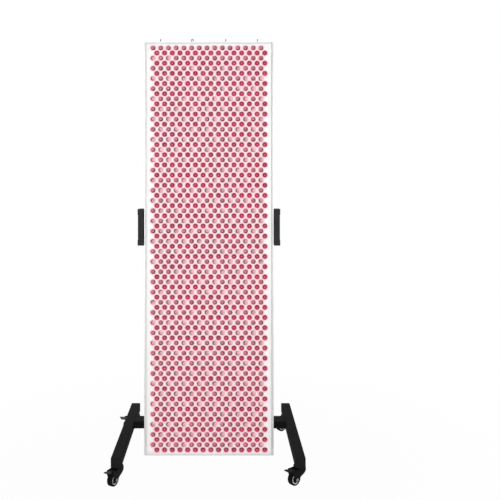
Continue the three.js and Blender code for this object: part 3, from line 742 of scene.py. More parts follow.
def block_between(low: Sequence[float], high: Sequence[float], corner: float, edge: float,
                  axis: Axis = Axis.Z) -> Shape:
    """Rounded block that fills the space between two opposite corners, its edges across axis.

    Args:
        low: one corner.
        high: the opposite corner.
        corner: radius of the corners along the axis.
        edge: radius of the edges across the axis.
        axis: direction that the corners run in.

    Returns:
        The block in its place.
    """
    low, high = np.asarray(low, float), np.asarray(high, float)
    basis = np.asarray(axis.value, float)
    return rounded_block(np.abs(basis @ (high - low)), corner, edge).placed(basis, (low + high) / 2)


def pipe(size: Sequence[float], wall: float, corner: float, span: Sequence[float],
         chamfer: float = 0.4) -> Shape:
    """Rectangular tube about the third axis, open at both ends, with eased end edges.

    Args:
        size: outer width and height.
        wall: thickness of the wall.
        corner: outer radius of the corners.
        span: levels of both ends.
        chamfer: size of the eased edges.

    Returns:
        The tube.
    """
    def outline(inset: float) -> np.ndarray:
        """Outline of the tube drawn in by inset."""
        return rounded_rectangle(size[0] - 2 * inset, size[1] - 2 * inset, max(corner - inset, 0.3))
    start, end = span
    insets = (0.0, 0.0, chamfer, wall, wall, chamfer)
    levels = (start + chamfer, end - chamfer, end, end, start, start)
    rings = level_rings([outline(inset) for inset in insets], levels)
    return grid(rings, close_rows=True, close_columns=True)


def bent_strip(corners: Sequence[Pair], wall: float, radius: float,
               steps: int = 4) -> tuple[np.ndarray, np.ndarray]:
    """Both faces of a sheet bent along a line of corners, all bent the same way.

    A bend's centre lies on the inner bisector, where lines drawn in by the radius meet; its faces
    are arcs of the radius and of the radius less the wall about that centre.

    Args:
        corners: the outer face's corners, its ends included.
        wall: thickness of the sheet.
        radius: outer radius of each bend.
        steps: spans of each bend.

    Returns:
        Points of the outer and inner face, matched one to one.
    """
    line = np.asarray(corners, float)
    ahead = np.diff(line, axis=0)
    ahead /= np.linalg.norm(ahead, axis=1)[:, None]
    inward = np.stack([ahead[:, 1], -ahead[:, 0]], axis=1)
    before, after = inward[:-1], inward[1:]
    centre = line[1:-1] + radius * (before + after) / (1 + (before * after).sum(1))[:, None]
    share = np.linspace(0, 1, steps + 1)[None, :, None]
    normal = before[:, None] * (1 - share) + after[:, None] * share
    normal /= np.linalg.norm(normal, axis=2)[:, :, None]

    def face(depth: float) -> np.ndarray:
        """Points of the face at one depth in the sheet."""
        bends = (centre[:, None] - (radius - depth) * normal).reshape(-1, 2)
        return np.vstack([line[:1] + depth * inward[:1], bends, line[-1:] + depth * inward[-1:]])

    return face(0.0), face(wall)


def strip_solid(outer: np.ndarray, inner: np.ndarray, start: Any, end: Any) -> Shape:
    """Bent sheet carried along the third axis.

    Args:
        outer: points of the outer face across the run.
        inner: points of the inner face, matched to the outer ones.
        start: level of the first end, one value or one for each point of outer and then inner.
        end: level of the other end, given as start is.

    Returns:
        The closed solid.
    """
    count = len(outer)
    loop = np.vstack([outer, inner])
    ends = [np.column_stack([loop, np.broadcast_to(level, (2 * count,))]) for level in (start, end)]
    points = np.concatenate(ends)
    first = np.arange(count - 1)
    far = 2 * count
    faces = [np.stack([first, first + 1, first + 1 + far, first + far], axis=1),
             np.stack([first, first + far, first + 1 + far, first + 1], axis=1) + count]
    for base in (0, far):
        faces.append(np.stack([first, first + 1, first + 1 + count, first + count], axis=1) + base)
    for edge in (0, count - 1):
        faces.append(np.array([[edge, edge + count, edge + count + far, edge + far]]))
    return Shape(points, faces)


def spaced(outline: np.ndarray, gap: float) -> np.ndarray:
    """Points at equal steps of about gap round a closed outline.

    Args:
        outline: corners of the outline.
        gap: step that is aimed at.

    Returns:
        The points, eight at least.
    """
    closed = np.vstack([outline, outline[:1]])
    along = np.concatenate([[0], np.cumsum(np.linalg.norm(np.diff(closed, axis=0), axis=1))])
    places = np.linspace(0, along[-1], max(8, int(along[-1] / gap)), endpoint=False)
    return np.stack([np.interp(places, along, column) for column in closed.T], axis=1)


def bead(outline: np.ndarray, level: float, radius: float, ripple: float = 0.14, gap: float = 0.9,
         sides: int = 6) -> Shape:
    """Ring of wire or weld laid round an outline, level with it.

    Each point is the path's point plus r cos b outwards and r sin b along the third axis, where r
    swells and shrinks along the path by the ripple, once in five steps.

    Args:
        outline: closed path in the first two axes.
        level: place along the third axis.
        radius: radius of the bead.
        ripple: share by which its radius changes.
        gap: step along the path.
        sides: points round the bead.

    Returns:
        The closed ring.
    """
    path = spaced(outline, gap)
    ahead = np.roll(path, -1, axis=0) - np.roll(path, 1, axis=0)
    ahead /= np.linalg.norm(ahead, axis=1)[:, None]
    outward = np.stack([ahead[:, 1], -ahead[:, 0]], axis=1)
    round_angle = np.arange(sides) * 2 * np.pi / sides
    swell = radius * (1 + ripple * np.sin(np.arange(len(path)) * 2 * np.pi / 5))
    across = swell[:, None] * np.cos(round_angle)
    flat = path[:, None, :] + across[:, :, None] * outward[:, None, :]
    rise = level + swell[:, None] * np.sin(round_angle)
    return grid(np.concatenate([flat, rise[:, :, None]], axis=2), True, True)


def circle(radius: float, sides: int) -> np.ndarray:
    """Points round a circle about the origin."""
    angle = np.arange(sides) * 2 * np.pi / sides
    return radius * np.stack([np.cos(angle), np.sin(angle)], axis=1)


def hex_head(across: float, height: float, washer: float = 0.0, thickness: float = 1.6) -> Shape:
    """Hexagonal bolt head standing on a washer, along the third axis from nought.

    A flat-sided ring's radius is (across / 2) / cos(a), with a the angle from the nearest flat's
    middle; the top ring is cut back to a circle, which leaves the curved chamfers.

    Args:
        across: width across the flats.
        height: height of the head.
        washer: radius of the washer, or nought for none.
        thickness: thickness of the washer.

    Returns:
        The head and washer.
    """
    sides, crown, shoulder, rim = 36, 0.82, 0.86, 0.97
    angle = np.arange(sides) * 2 * np.pi / sides
    slant = (angle + np.pi / 6) % (np.pi / 3) - np.pi / 6
    flats = across / 2 / np.cos(slant)
    base = thickness if washer else 0.0
    radii = (flats, flats, np.minimum(flats, across / 2), np.full(sides, across / 2 * crown))
    levels = (base, base + height * shoulder, base + height * rim, base + height)
    rings = np.stack([np.stack([r * np.cos(angle), r * np.sin(angle), np.full(sides, z)], axis=1)
                      for r, z in zip(radii, levels)])
    head = loft(rings)
    if washer:
        head = head + lathe([(0.0, 0), (washer, 0), (washer, thickness - 0.3),
                             (washer - 0.3, thickness), (0.0, thickness)], 32)
    return head


def button_screw(radius: float, height: float) -> Shape:
    """Button-headed screw with a socket in its head, along the third axis from nought."""
    return lathe([(0.0, 0.0), (radius, 0.0), (radius, 0.2 * height), (0.86 * radius, 0.62 * height),
                  (0.62 * radius, 0.9 * height), (0.4 * radius, height), (0.36 * radius, height),
                  (0.34 * radius, 0.45 * height), (0.0, 0.4 * height)], 12)


def extent(node: str) -> tuple[np.ndarray, np.ndarray]:
    """Lowest and highest corner of a solid, in millimetres."""
    low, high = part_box(node)
    return np.array(low) / MM, np.array(high) / MM


# Pieces.


@dataclass
class Piece:
    """One visible piece: its shape, its finish and the body that it rides on."""

    name: str
    shape: Shape
    finish: Any
    body: str
    replaces: Sequence[str] = ()
    slot: str = ""
    crease: float = 32.0
    tidy: bool = True

    def build(self) -> bpy.types.Object:
        """Makes the mesh, dresses it and hangs it on its body.

        Returns:
            The finished object, at the origin, with its place in its mesh.
        """
        mesh = bpy.data.meshes.new(self.name)
        corners = np.concatenate([group.ravel() for group in self.shape.faces])
        counts = np.concatenate([np.full(len(g), g.shape[1]) for g in self.shape.faces])
        starts = np.concatenate([[0], np.cumsum(counts)[:-1]])
        mesh.vertices.add(len(self.shape.points))
        mesh.vertices.foreach_set("co", (self.shape.points * MM).astype(np.float32).ravel())
        mesh.loops.add(len(corners))
        mesh.loops.foreach_set("vertex_index", corners.astype(np.int32))
        mesh.polygons.add(len(counts))
        mesh.polygons.foreach_set("loop_start", starts.astype(np.int32))
        mesh.update(calc_edges=True)
        mesh.validate()
        if self.tidy:
            work = bmesh.new()
            work.from_mesh(mesh)
            bmesh.ops.remove_doubles(work, verts=work.verts, dist=0.002 * MM)
            bmesh.ops.recalc_face_normals(work, faces=work.faces)
            work.to_mesh(mesh)
            work.free()
        mesh.polygons.foreach_set("use_smooth", np.ones(len(mesh.polygons), bool))
        mesh.set_sharp_from_angle(angle=math.radians(self.crease))
        mesh.materials.append(Paint.of(self.finish))
        piece = bpy.data.objects.new(self.name, mesh)
        bpy.context.scene.collection.objects.link(piece)
        if self.tidy:
            weighting = piece.modifiers.new("flat_faces_stay_flat", "WEIGHTED_NORMAL")
            weighting.keep_sharp = True
        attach(piece, self.body)
        if self.replaces:
            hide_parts(*self.replaces)
        LOG.info("%s: %d faces, on %s", self.name, len(mesh.polygons), self.body)
        return piece


def dress(nodes: Sequence[str], finish: Any) -> None:
    """Gives carried-over solids a finish.

    Args:
        nodes: names of the solids.
        finish: finish of them all.
    """
    for name in nodes:
        node = frame["nodes"][name]
        if not node.data.materials:
            node.data.materials.append(None)
        for slot in node.material_slots:
            slot.material = Paint.of(finish)
        LOG.info("%s: solid kept, %s", name, finish.name)


class Side(Enum):
    """A side of the unit, as a person who faces the lamps sees it, by the word in solids' names."""

    LEFT = "left"
    RIGHT = "right"
    TOP = "top"
    BOTTOM = "bottom"

    @property
    def out(self) -> int:
        """Direction away from the unit's middle along X or Z, 1 or -1."""
        return 1 if self in (Side.RIGHT, Side.TOP) else -1


FLANKS = (Side.LEFT, Side.RIGHT)


@dataclass
class PanelPlan:
    """Outer faces of the casing, read from its rails."""

    low: np.ndarray = field(init=False)
    high: np.ndarray = field(init=False)
    wall: float = 2.0
    lens_edge: float = 20.85
    lens_end: float = 27.5
    columns: int = 15
    rows: int = 80

    def __post_init__(self) -> None:
        """Reads the casing's box."""
        boxes = [extent(f"rail_{side.value}") for side in Side]
        self.low = np.min([box[0] for box in boxes], axis=0)
        self.high = np.max([box[1] for box in boxes], axis=0)

    @property
    def middle(self) -> np.ndarray:
        """Middle of the casing."""
        return (self.low + self.high) / 2

    @property
    def lattice(self) -> Lattice:
        """Field of lamps, spread over the plate as its holes are.

        Returns:
            The field.
        """
        width, height = self.high[0] - self.low[0], self.high[2] - self.low[2]
        pitch_x = (width - 2 * self.lens_edge) / (self.columns + 0.5)
        pitch_z = (height - 2 * self.lens_end) / (self.rows - 1)
        return Lattice(self.low[0] + self.lens_edge + pitch_x / 2, self.high[2] - self.lens_end,
                       pitch_x, pitch_z, self.columns, self.rows)


@dataclass
class Casing:
    """Bent-sheet rails, the drilled lamp plate and the rear cover."""

    plan: PanelPlan
    chamfer_width: float = 11.0
    chamfer_depth: float = 14.0
    lip: float = 16.0
    bend: float = 2.6
    seam: float = 0.12
    hole: float = 9.3
    screw_radius: float = 3.4
    screw_height: float = 1.6
    screw_inset: float = 8.0
    screw_rows: int = 9
    screw_columns: int = 4

    def rail(self, side: Side) -> Shape:
        """One rail: the bent section run along its edge, its ends cut on the slant.

        Each end point lies half the edge's length from the middle, less its distance in from the
        outer face, so that neighbours meet at 45 degrees.

        Args:
            side: edge of the casing that the rail runs along.

        Returns:
            The rail in its place.
        """
        low, high = self.plan.low, self.plan.high
        depth = high[1] - low[1]
        outer, inner = bent_strip([(self.lip, 0), (self.chamfer_width, 0), (0, self.chamfer_depth),
                                   (0, depth), (self.lip, depth)], self.plan.wall, self.bend)
        upright = side in FLANKS
        axis = 2 if upright else 0
        half = (high[axis] - low[axis]) / 2
        inward = np.vstack([outer, inner])[:, 0]
        reach = half - inward - self.seam
        shape = strip_solid(outer, inner, -reach, reach)
        middle = self.plan.middle
        corner = high if side.out > 0 else low
        if upright:
            return shape.placed(((-side.out, 0, 0), (0, 1, 0), (0, 0, 1)),
                                (corner[0], low[1], middle[2]))
        return shape.placed(((0, 0, -side.out), (0, 1, 0), (1, 0, 0)),
                            (middle[0], low[1], corner[2]))

    def plate(self) -> Shape:
        """Front of the lamp plate, with a round hole for each lens.

        Each lens has a brick-shaped cell with 16 points round it, joined one to one to 16 points
        of its hole. The margins are long faces with a point at each corner of the bricks.

        Returns:
            The plate as one thin sheet, facing the lamps' way.
        """
        lattice = self.plan.lattice
        low, high = extent("front_plate")
        centres = np.vstack([lattice.centres(False), lattice.centres(True)])
        half_x, half_z = lattice.pitch_x / 2, lattice.pitch_z / 2
        steps = np.linspace(-1, 1, 5)[:4]
        brick = np.concatenate([
            np.stack([steps * half_x, np.full(4, half_z)], axis=1),
            np.stack([np.full(4, half_x), -steps * half_z], axis=1),
            np.stack([-steps * half_x, np.full(4, -half_z)], axis=1),
            np.stack([np.full(4, -half_x), steps * half_z], axis=1)])
        angle = np.deg2rad(135 - 22.5 * np.arange(16))
        ring = self.hole * np.stack([np.cos(angle), np.sin(angle)], axis=1)
        rows = np.stack([brick, ring])
        flat = centres[:, None, None, :] + rows[None]
        level = np.full(flat.shape[:-1] + (1,), low[1])
        points = np.concatenate([flat[..., :1], level, flat[..., 1:]], axis=-1).reshape(-1, 3)
        cell = grid(np.zeros((2, 16, 3)), close_columns=True).faces[0]
        cells = (cell[None] + (np.arange(len(centres)) * 32)[:, None, None]).reshape(-1, 4)
        shape = Shape(points, [cells])
        bricks_left = lattice.left - half_x
        bricks_right = bricks_left + lattice.columns * lattice.pitch_x
        edge_z = lattice.top + half_z
        for row in range(lattice.rows):
            shift = (row % 2) * half_x
            top = edge_z - row * lattice.pitch_z
            heights = top - np.linspace(0, lattice.pitch_z, 5)
            start = bricks_left + shift
            end = bricks_right + shift
            joints_left = np.arange(bricks_left, start + 0.01, half_x / 2)
            joints_right = np.arange(end, bricks_right + half_x + 0.01, half_x / 2)
            for line, joints in ((low[0], joints_left), (high[0], joints_right)):
                near = joints[-1] if line < start else joints[0]
                ordered = joints if line < start else joints[::-1]
                ups = [(line, heights[0])] + [(x, heights[0]) for x in ordered[:-1]]
                side_points = [(near, z) for z in heights]
                downs = [(x, heights[-1]) for x in ordered[:-1][::-1]] + [(line, heights[-1])]
                shape = shape + self.face(ups + side_points + downs, low[1])
        marks = np.arange(bricks_left, bricks_right + half_x + 0.01, half_x / 2)
        for line, level_z in ((high[2], edge_z), (low[2], edge_z - lattice.rows * lattice.pitch_z)):
            ends = [(low[0], line), (high[0], line), (high[0], level_z)]
            shape = shape + self.face(ends + [(x, level_z) for x in marks[::-1]]
                                      + [(low[0], level_z)], low[1])
        return shape

    @staticmethod
    def face(points: Sequence[Pair], level: float) -> Shape:
        """One flat face through points in X and Z.

        Args:
            points: corners of the face in order.
            level: place along Y.

        Returns:
            The face.
        """
        corners = np.asarray(points, float)
        laid = np.column_stack([corners[:, 0], np.full(len(corners), level), corners[:, 1]])
        return Shape(laid, [np.arange(len(laid))[None]])

    def screws(self) -> Shape:
        """Screws that hold the rear cover, along its edges.

        Returns:
            All screws as one shape, in their places.
        """
        low, high = extent("rear_cover")
        inset = self.screw_inset
        x = np.array([low[0] + inset, high[0] - inset])
        z = np.linspace(low[2] + inset, high[2] - inset, self.screw_rows)
        sides = np.stack(np.meshgrid(x, z), axis=-1).reshape(-1, 2)
        between_corners = np.linspace(*x, self.screw_columns)[1:-1]
        ends = np.stack(np.meshgrid(between_corners, z[[0, -1]]), axis=-1).reshape(-1, 2)
        places = np.vstack([sides, ends])
        head = button_screw(self.screw_radius, self.screw_height).placed(Axis.Y.value)
        shifts = np.column_stack([places[:, 0], np.full(len(places), high[1]), places[:, 1]])
        return head.repeated(shifts)

    def build(self) -> None:
        """Makes the casing."""
        for side in Side:
            Piece(f"casing_rail_{side.value}", self.rail(side), WHITE_POWDER, "panel",
                  (f"rail_{side.value}",), "white_powder_coat").build()
        sheet = Piece("lamp_plate", self.plate(), LampPlateCoatWithPaintedGlow(self.plan.lattice), "panel",
                      ("front_plate",), "white_powder_coat").build()
        if sheet.data.polygons[0].normal.y > 0:
            sheet.data.flip_normals()
        low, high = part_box("front_plate")
        wall = sheet.modifiers.new("wall", "SOLIDIFY")
        wall.thickness = high.y - low.y
        wall.offset = -1.0
        Piece("rear_cover_screws", self.screws(), ZINC, "panel", (), "zinc_steel").build()
        dress(["rear_cover"], WHITE_POWDER)


@dataclass
class LampField:
    """The two kinds of lens, and the boards, heat sink and drivers behind them."""

    plan: PanelPlan
    radius: float = 9.1
    skirt: float = 1.6
    sides: int = 14
    seed: int = 7
    pale_chance: tuple[float, float, float] = (0.0, 0.2, 0.86)
    pale_turn: float = 2.5
    turn_spread: float = 0.35

    def lens(self, rise: float) -> Shape:
        """One lens: a short skirt and a dome, its radius and height those of a sphere's cap.

        Args:
            rise: height of the dome over the plate.

        Returns:
            The lens, standing along the third axis.
        """
        ball = (self.radius ** 2 + rise ** 2) / (2 * rise)
        radii = self.radius * np.array([1.0, 0.8, 0.42])
        heights = np.sqrt(ball ** 2 - radii ** 2) - (ball - rise)
        profile = [(self.radius, -self.skirt)] + list(zip(radii, heights))
        wall = grid(turned_rings(profile, self.sides), close_columns=True)
        peak = len(wall.points)
        last = np.arange(self.sides) + (len(profile) - 1) * self.sides
        cap = np.stack([last, np.roll(last, -1), np.full(self.sides, peak)], axis=1)
        points = np.vstack([wall.points, [[0.0, 0.0, rise]]])
        return Shape(points, wall.faces + [cap, np.arange(self.sides)[None, ::-1]])

    def lenses(self, red: bool, name: str, finish: LensAcrylic, nodes: Sequence[str]) -> None:
        """Makes all lenses of one kind, each with its own place for the pattern.

        Args:
            red: True for the red rows.
            name: name of the piece.
            finish: finish of the lenses.
            nodes: solids that the piece stands for.
        """
        low, _ = extent("lens_sheet_1")
        front = extent("front_plate")[0][1]
        template = self.lens(front - low[1])
        out = template.placed(((1, 0, 0), (0, 0, 1), (0, -1, 0)))
        centres = self.plan.lattice.centres(red)
        shifts = np.column_stack([centres[:, 0], np.full(len(centres), front), centres[:, 1]])
        piece = Piece(name, out.repeated(shifts), finish, "panel", nodes, "lens_acrylic",
                      crease=50.0, tidy=False).build()
        mesh = piece.data
        random = np.random.default_rng(self.seed + red)
        count, size = len(centres), len(template.points)
        turn = random.normal(0.0, self.turn_spread, count)
        column, row = np.arange(count) % self.plan.columns, np.arange(count) // self.plan.columns
        chance = np.clip(self.pale_chance[0] + row * self.pale_chance[1], 0, self.pale_chance[2])
        pale = ((column + row) % 2 == 1) & (random.random(count) < chance) & (not red)
        turn += np.where(pale, self.pale_turn, 0.0)
        for key, values in (("lamp_turn", turn), ("lamp_share", random.random(count)),
                            ("lamp_pale", pale.astype(float))):
            layer = mesh.attributes.new(key, "FLOAT", "POINT")
            layer.data.foreach_set("value", np.repeat(values, size).astype(np.float32))
        local = np.tile(template.points[:, :2] / (2 * self.radius) + 0.5, (count, 1))
        corner = np.empty(len(mesh.loops), np.int32)
        mesh.loops.foreach_get("vertex_index", corner)
        layer = mesh.uv_layers.new(name="lens")
        layer.data.foreach_set("uv", local[corner].astype(np.float32).ravel())

    def build(self) -> None:
        """Makes the lamps."""
        self.lenses(True, "red_lenses", RED_LENS, ("lens_sheet_1", "lens_sheet_2"))
        self.lenses(False, "infrared_lenses", CLEAR_LENS, ())
        dress(["led_board_1", "led_board_2"], BOARD_MASK)
        dress(["heat_sink", "lamp_driver_1", "lamp_driver_2"], ALUMINIUM)


@dataclass
class Fan:
    """One cooling fan behind the rear cover, with its wire guard outside."""

    number: int
    blades: int = 7
    bore: float = 57.0
    hub: float = 19.0
    wire: float = 1.1
    rings: int = 5
    first_ring: float = 13.0
    last_ring_gap: float = 1.5
    guard_height: float = 1.3
    disc: Pair = (9.0, 0.8)
    spoke_from: float = 6.0
    spoke_stop: float = 4.5
    eyelet: float = 4.6
    ear: float = 53.0
    corner: float = 6.0
    outline_step: float = 2.5
    waist: float = 0.985
    plate: float = 3.0
    plate_gap: float = 0.3
    strut: Pair = (4.0, 2.6)
    strut_turn: float = 0.3
    shaft: float = 3.6
    tip_gap: float = 0.6
    blade_share: float = 0.78
    sweep: float = 0.22
    bow: float = 1.4
    blade_half: float = 0.7

    def guard(self, centre: np.ndarray, back: float) -> Shape:
        """Wire guard: rings about the hub, crossed wires among them and an eyelet at each corner.

        Args:
            centre: middle of the fan's frame.
            back: level of the rear cover's outer face.

        Returns:
            The guard in its place.
        """
        thick = self.wire * 0.9
        shapes = [bead(circle(radius, 64), 0.0, thick, 0.0, 2.4) for radius in
                  np.linspace(self.first_ring, self.bore - self.last_ring_gap, self.rings)]
        disc, half = self.disc
        shapes.append(lathe([(0, -half), (disc - 1, -half), (disc, 0), (disc - 1, half),
                             (0, half)], 24))
        eyelet = bead(circle(self.eyelet, 24), 0.0, thick, 0.0, 1.6)
        span = np.linspace(self.spoke_from, self.ear * math.sqrt(2) - self.spoke_stop, 3)
        round_angle = np.arange(8)[:, None] * np.pi / 4
        for turn in range(4):
            ahead, across, up = spoke(math.pi / 4 + turn * math.pi / 2)
            ring = self.wire * 0.8 * (np.cos(round_angle) * across + np.sin(round_angle) * up)
            shapes.append(loft(span[:, None, None] * ahead + ring[None]))
            shapes.append(eyelet.placed(origin=ahead * self.ear * math.sqrt(2)))
        return joined(shapes).placed(
            Axis.Y.value, (centre[0], back + self.guard_height, centre[2]))

    def rotor(self, low: np.ndarray, high: np.ndarray) -> Shape:
        """Rotor: a domed hub and curved blades.

        A blade's point lies at radius r and at the angle a0 + s k r / R, s running over the chord,
        with its height falling along s and bowed by a sine, so that the blade sweeps and twists.

        Args:
            low: lowest corner of the rotor's solid.
            high: highest corner of the rotor's solid.

        Returns:
            The rotor in its place.
        """
        middle = (low + high) / 2
        front, back = low[1], high[1] - self.shaft
        tip = (high[0] - low[0]) / 2 - self.tip_gap
        depth = back - front
        radius = np.linspace(self.hub - 0.8, tip, 7)
        chord = np.linspace(-0.5, 0.5, 7)
        reach, along = np.meshgrid(radius, chord, indexing="ij")
        width = 2 * np.pi / self.blades * self.blade_share
        angle = along * width + self.sweep * (reach / tip) ** 2
        height = -along * depth * self.blade_share + self.bow * np.sin((along + 0.5) * np.pi)
        shapes = []
        for blade in range(self.blades):
            turn = angle + blade * 2 * np.pi / self.blades
            rows = [np.stack([reach * np.cos(turn), reach * np.sin(turn), height + side], axis=-1)
                    for side in (-self.blade_half, self.blade_half)]
            ring = np.concatenate([rows[0], rows[1][:, ::-1]], axis=1)
            shapes.append(loft(ring))
        half = depth / 2 - 0.4
        shapes.append(lathe([(0, -half), (self.hub - 3, -half), (self.hub - 0.6, -half + 1.2),
                             (self.hub, -half + 3), (self.hub, half), (0, half)], 40))
        return joined(shapes).placed(Axis.Y.value, (middle[0], (front + back) / 2, middle[2]))

    def frame(self, low: np.ndarray, high: np.ndarray) -> Shape:
        """Housing: a rounded square with a round duct, and struts to the motor plate.

        The bore's points lie on the spokes through the square's, which stand at even steps along
        its sides too, so that the bore is as round there as at the corners.

        Args:
            low: lowest corner of the frame's solid.
            high: highest corner of the frame's solid.

        Returns:
            The housing in its place.
        """
        middle = (low + high) / 2
        size = high - low
        square = spaced(rounded_rectangle(size[0], size[2], self.corner, 15), self.outline_step)
        angle = np.arctan2(square[:, 1], square[:, 0])
        ring = self.bore * np.stack([np.cos(angle), np.sin(angle)], axis=1)
        half = size[1] / 2
        duct = grid(level_rings([square, square, ring, ring * self.waist, ring],
                                [-half, half, half, 0, -half]),
                    close_rows=True, close_columns=True)
        start, end = half - self.plate, half - self.plate_gap
        parts = [duct, lathe([(0, start), (self.hub, start), (self.hub, end), (0, end)], 40)]
        strut = rounded_block((self.bore - self.hub + 1.6, *self.strut), 1.0, 0.5)
        for turn in range(4):
            basis = spoke(turn * math.pi / 2 + self.strut_turn)
            place = basis[0] * (self.bore + self.hub) / 2 + (0, 0, half - 1.7)
            parts.append(strut.placed(basis, place))
        return joined(parts).placed(Axis.Y.value, middle)

    def build(self) -> None:
        """Makes the fan."""
        tag = self.number
        low, high = extent(f"fan_frame_{tag}")
        centre = (low + high) / 2
        cover = extent("rear_cover")[1][1]
        Piece(f"fan_housing_{tag}", self.frame(low, high), BLACK_NYLON, "panel",
              (f"fan_frame_{tag}",), "black_plastic").build()
        Piece(f"fan_blades_{tag}", self.rotor(*extent(f"fan_rotor_{tag}")), BLACK_NYLON,
              f"fan_{tag}", (f"fan_rotor_{tag}",), "black_plastic").build()
        Piece(f"fan_finger_guard_{tag}", self.guard(centre, cover), ZINC, "panel",
              (f"fan_guard_{tag}",), "zinc_steel").build()
        reach = np.array([(x, 0.0, z) for x in (-1, 1) for z in (-1, 1)]) * self.ear
        places = reach + (centre[0], cover, centre[2])
        screws = button_screw(3.2, 2.2).placed(Axis.Y.value).repeated(places)
        Piece(f"fan_screws_{tag}", screws, ZINC, "panel", (), "zinc_steel").build()


@dataclass
class Service:
    """Power inlet and lamp switches, low on the rear cover."""

    flange_corner: float = 4.0
    cavity: tuple[float, float, float] = (25.0, 17.0, 17.0)
    pin: tuple[float, float, float] = (2.0, 4.0, 11.0)
    pin_pitch: float = 7.0
    pin_offset: float = 2.0
    well: Pair = (33.6, 22.0)
    well_depth: float = 9.0
    divider: Pair = (2.1, 10.9)
    inlet_screw: float = 20.0
    block_screw: float = 21.5
    lean: float = 12.0
    rocker_half: float = 9.5
    rocker_reach: float = 9.4
    rocker_level: float = 2.15
    rocker_rise: float = 1.2
    rocker_rims: tuple[Pair, ...] = ((6.9, 0.7), (6.4, 0.2), (5.8, 0.0))
    rocker_foot: Pair = (8.0, -2.9)

    @staticmethod
    def screw_places(middle: np.ndarray, back: float, reach: float) -> list[Sequence[float]]:
        """Places of the two screws beside the middle of a flange."""
        return [(middle[0] + x, back - 0.1, middle[2]) for x in (-reach, reach)]

    def cup(self, low: np.ndarray, high: np.ndarray, flange: float, mouth: np.ndarray,
            depth: float) -> Shape:
        """Flanged body with a well: rings from its foot, over the flange's rim, down to the floor.

        Args:
            low: lowest corner of the solid.
            high: highest corner of the solid.
            flange: thickness of the flange.
            mouth: outline of the well.
            depth: depth of the well.

        Returns:
            The body in its place, open to the rear.
        """
        middle = (low + high) / 2
        size = high - low
        steps = len(mouth) // 4 - 1
        body = rounded_rectangle(size[0] - 12, size[2] - 8, 2.0, steps)
        rim = rounded_rectangle(size[0], size[2], self.flange_corner, steps)
        eased = rounded_rectangle(size[0] - 1.2, size[2] - 1.2, self.flange_corner - 0.6, steps)
        top = high[1]
        rings = level_rings([body, body, rim, rim, eased, mouth * 1.04, mouth, mouth],
                            [low[1], top - flange, top - flange, top - 0.6, top, top, top - 0.5,
                             top - depth])
        return loft(rings).placed(Axis.Y.value, (middle[0], 0.0, middle[2]))

    def build(self) -> None:
        """Makes the inlet, its pins, the switch block and the rockers."""
        low, high = extent("power_inlet")
        middle = (low + high) / 2
        mouth = rounded_rectangle(self.cavity[0], self.cavity[1], (1.0, 1.0, 4.5, 4.5), 5)
        Piece("power_socket", self.cup(low, high, 2.0, mouth, self.cavity[2]), BLACK_NYLON,
              "panel", ("power_inlet",), "black_plastic").build()
        floor = high[1] - self.cavity[2]
        pins = [rounded_block(self.pin, 0.4, 0.4).placed(
            Axis.Y.value, (middle[0] + self.pin_pitch * step, floor + self.pin[2] / 2 - 0.2,
                           middle[2] + (-self.pin_offset if step else self.pin_offset)))
                for step in (-1, 0, 1)]
        Piece("power_socket_pins", joined(pins), BRASS, "panel", (), "zinc_steel").build()
        screws = self.screw_places(middle, high[1], self.inlet_screw)
        low, high = extent("switch_block")
        middle = (low + high) / 2
        well = rounded_rectangle(*self.well, 1.0, 5)
        half_x, half_z = self.divider
        divider = block_between((middle[0] - half_x, high[1] - self.well_depth, middle[2] - half_z),
                                (middle[0] + half_x, high[1] - 0.15, middle[2] + half_z), 0.3, 0.3)
        Piece("switch_housing", self.cup(low, high, 2.0, well, self.well_depth) + divider,
              BLACK_NYLON, "panel", ("switch_block",), "black_plastic").build()
        screws += self.screw_places(middle, high[1], self.block_screw)
        heads = button_screw(2.2, 1.2).placed(Axis.Y.value).repeated(np.array(screws))
        Piece("service_screws", heads, ZINC, "panel", (), "zinc_steel").build()
        for kind, finish in (("red", RED_ROCKER), ("infrared", BLACK_NYLON)):
            self.rocker(kind, finish)

    def rocker(self, kind: str, finish: Any) -> None:
        """Makes one rocker: a saddle whose top rises as the square of the distance from its middle.

        Args:
            kind: red or infrared.
            finish: finish of the rocker.
        """
        joint = next(j for j in frame["joints"] if j["name"] == f"switch_press_{kind}")
        along = np.linspace(-self.rocker_reach, self.rocker_reach, 15)
        bowed = self.rocker_level + self.rocker_rise * (along / self.rocker_half) ** 2
        foot, level = self.rocker_foot
        section = np.vstack([np.column_stack([along, bowed]), [(foot, level), (-foot, level)]])
        rings = []
        rims = [(-across, pull) for across, pull in self.rocker_rims]
        for across, pull in (*rims, *reversed(self.rocker_rims)):
            shrunk = section * (1 - pull / self.rocker_half) - (0, 0.25 * pull)
            rings.append(np.column_stack([np.full(len(shrunk), across), shrunk[:, ::-1]]))
        rise, ahead = math.sin(math.radians(self.lean)), math.cos(math.radians(self.lean))
        basis = ((1, 0, 0), (0, ahead, rise), (0, -rise, ahead))
        shape = loft(np.stack(rings)).placed(basis, np.array(joint["pos_m"]) / MM)
        Piece(f"{kind}_switch_rocker", shape, finish, f"switch_{kind}", (f"rocker_{kind}",),
              "black_plastic", crease=40.0).build()


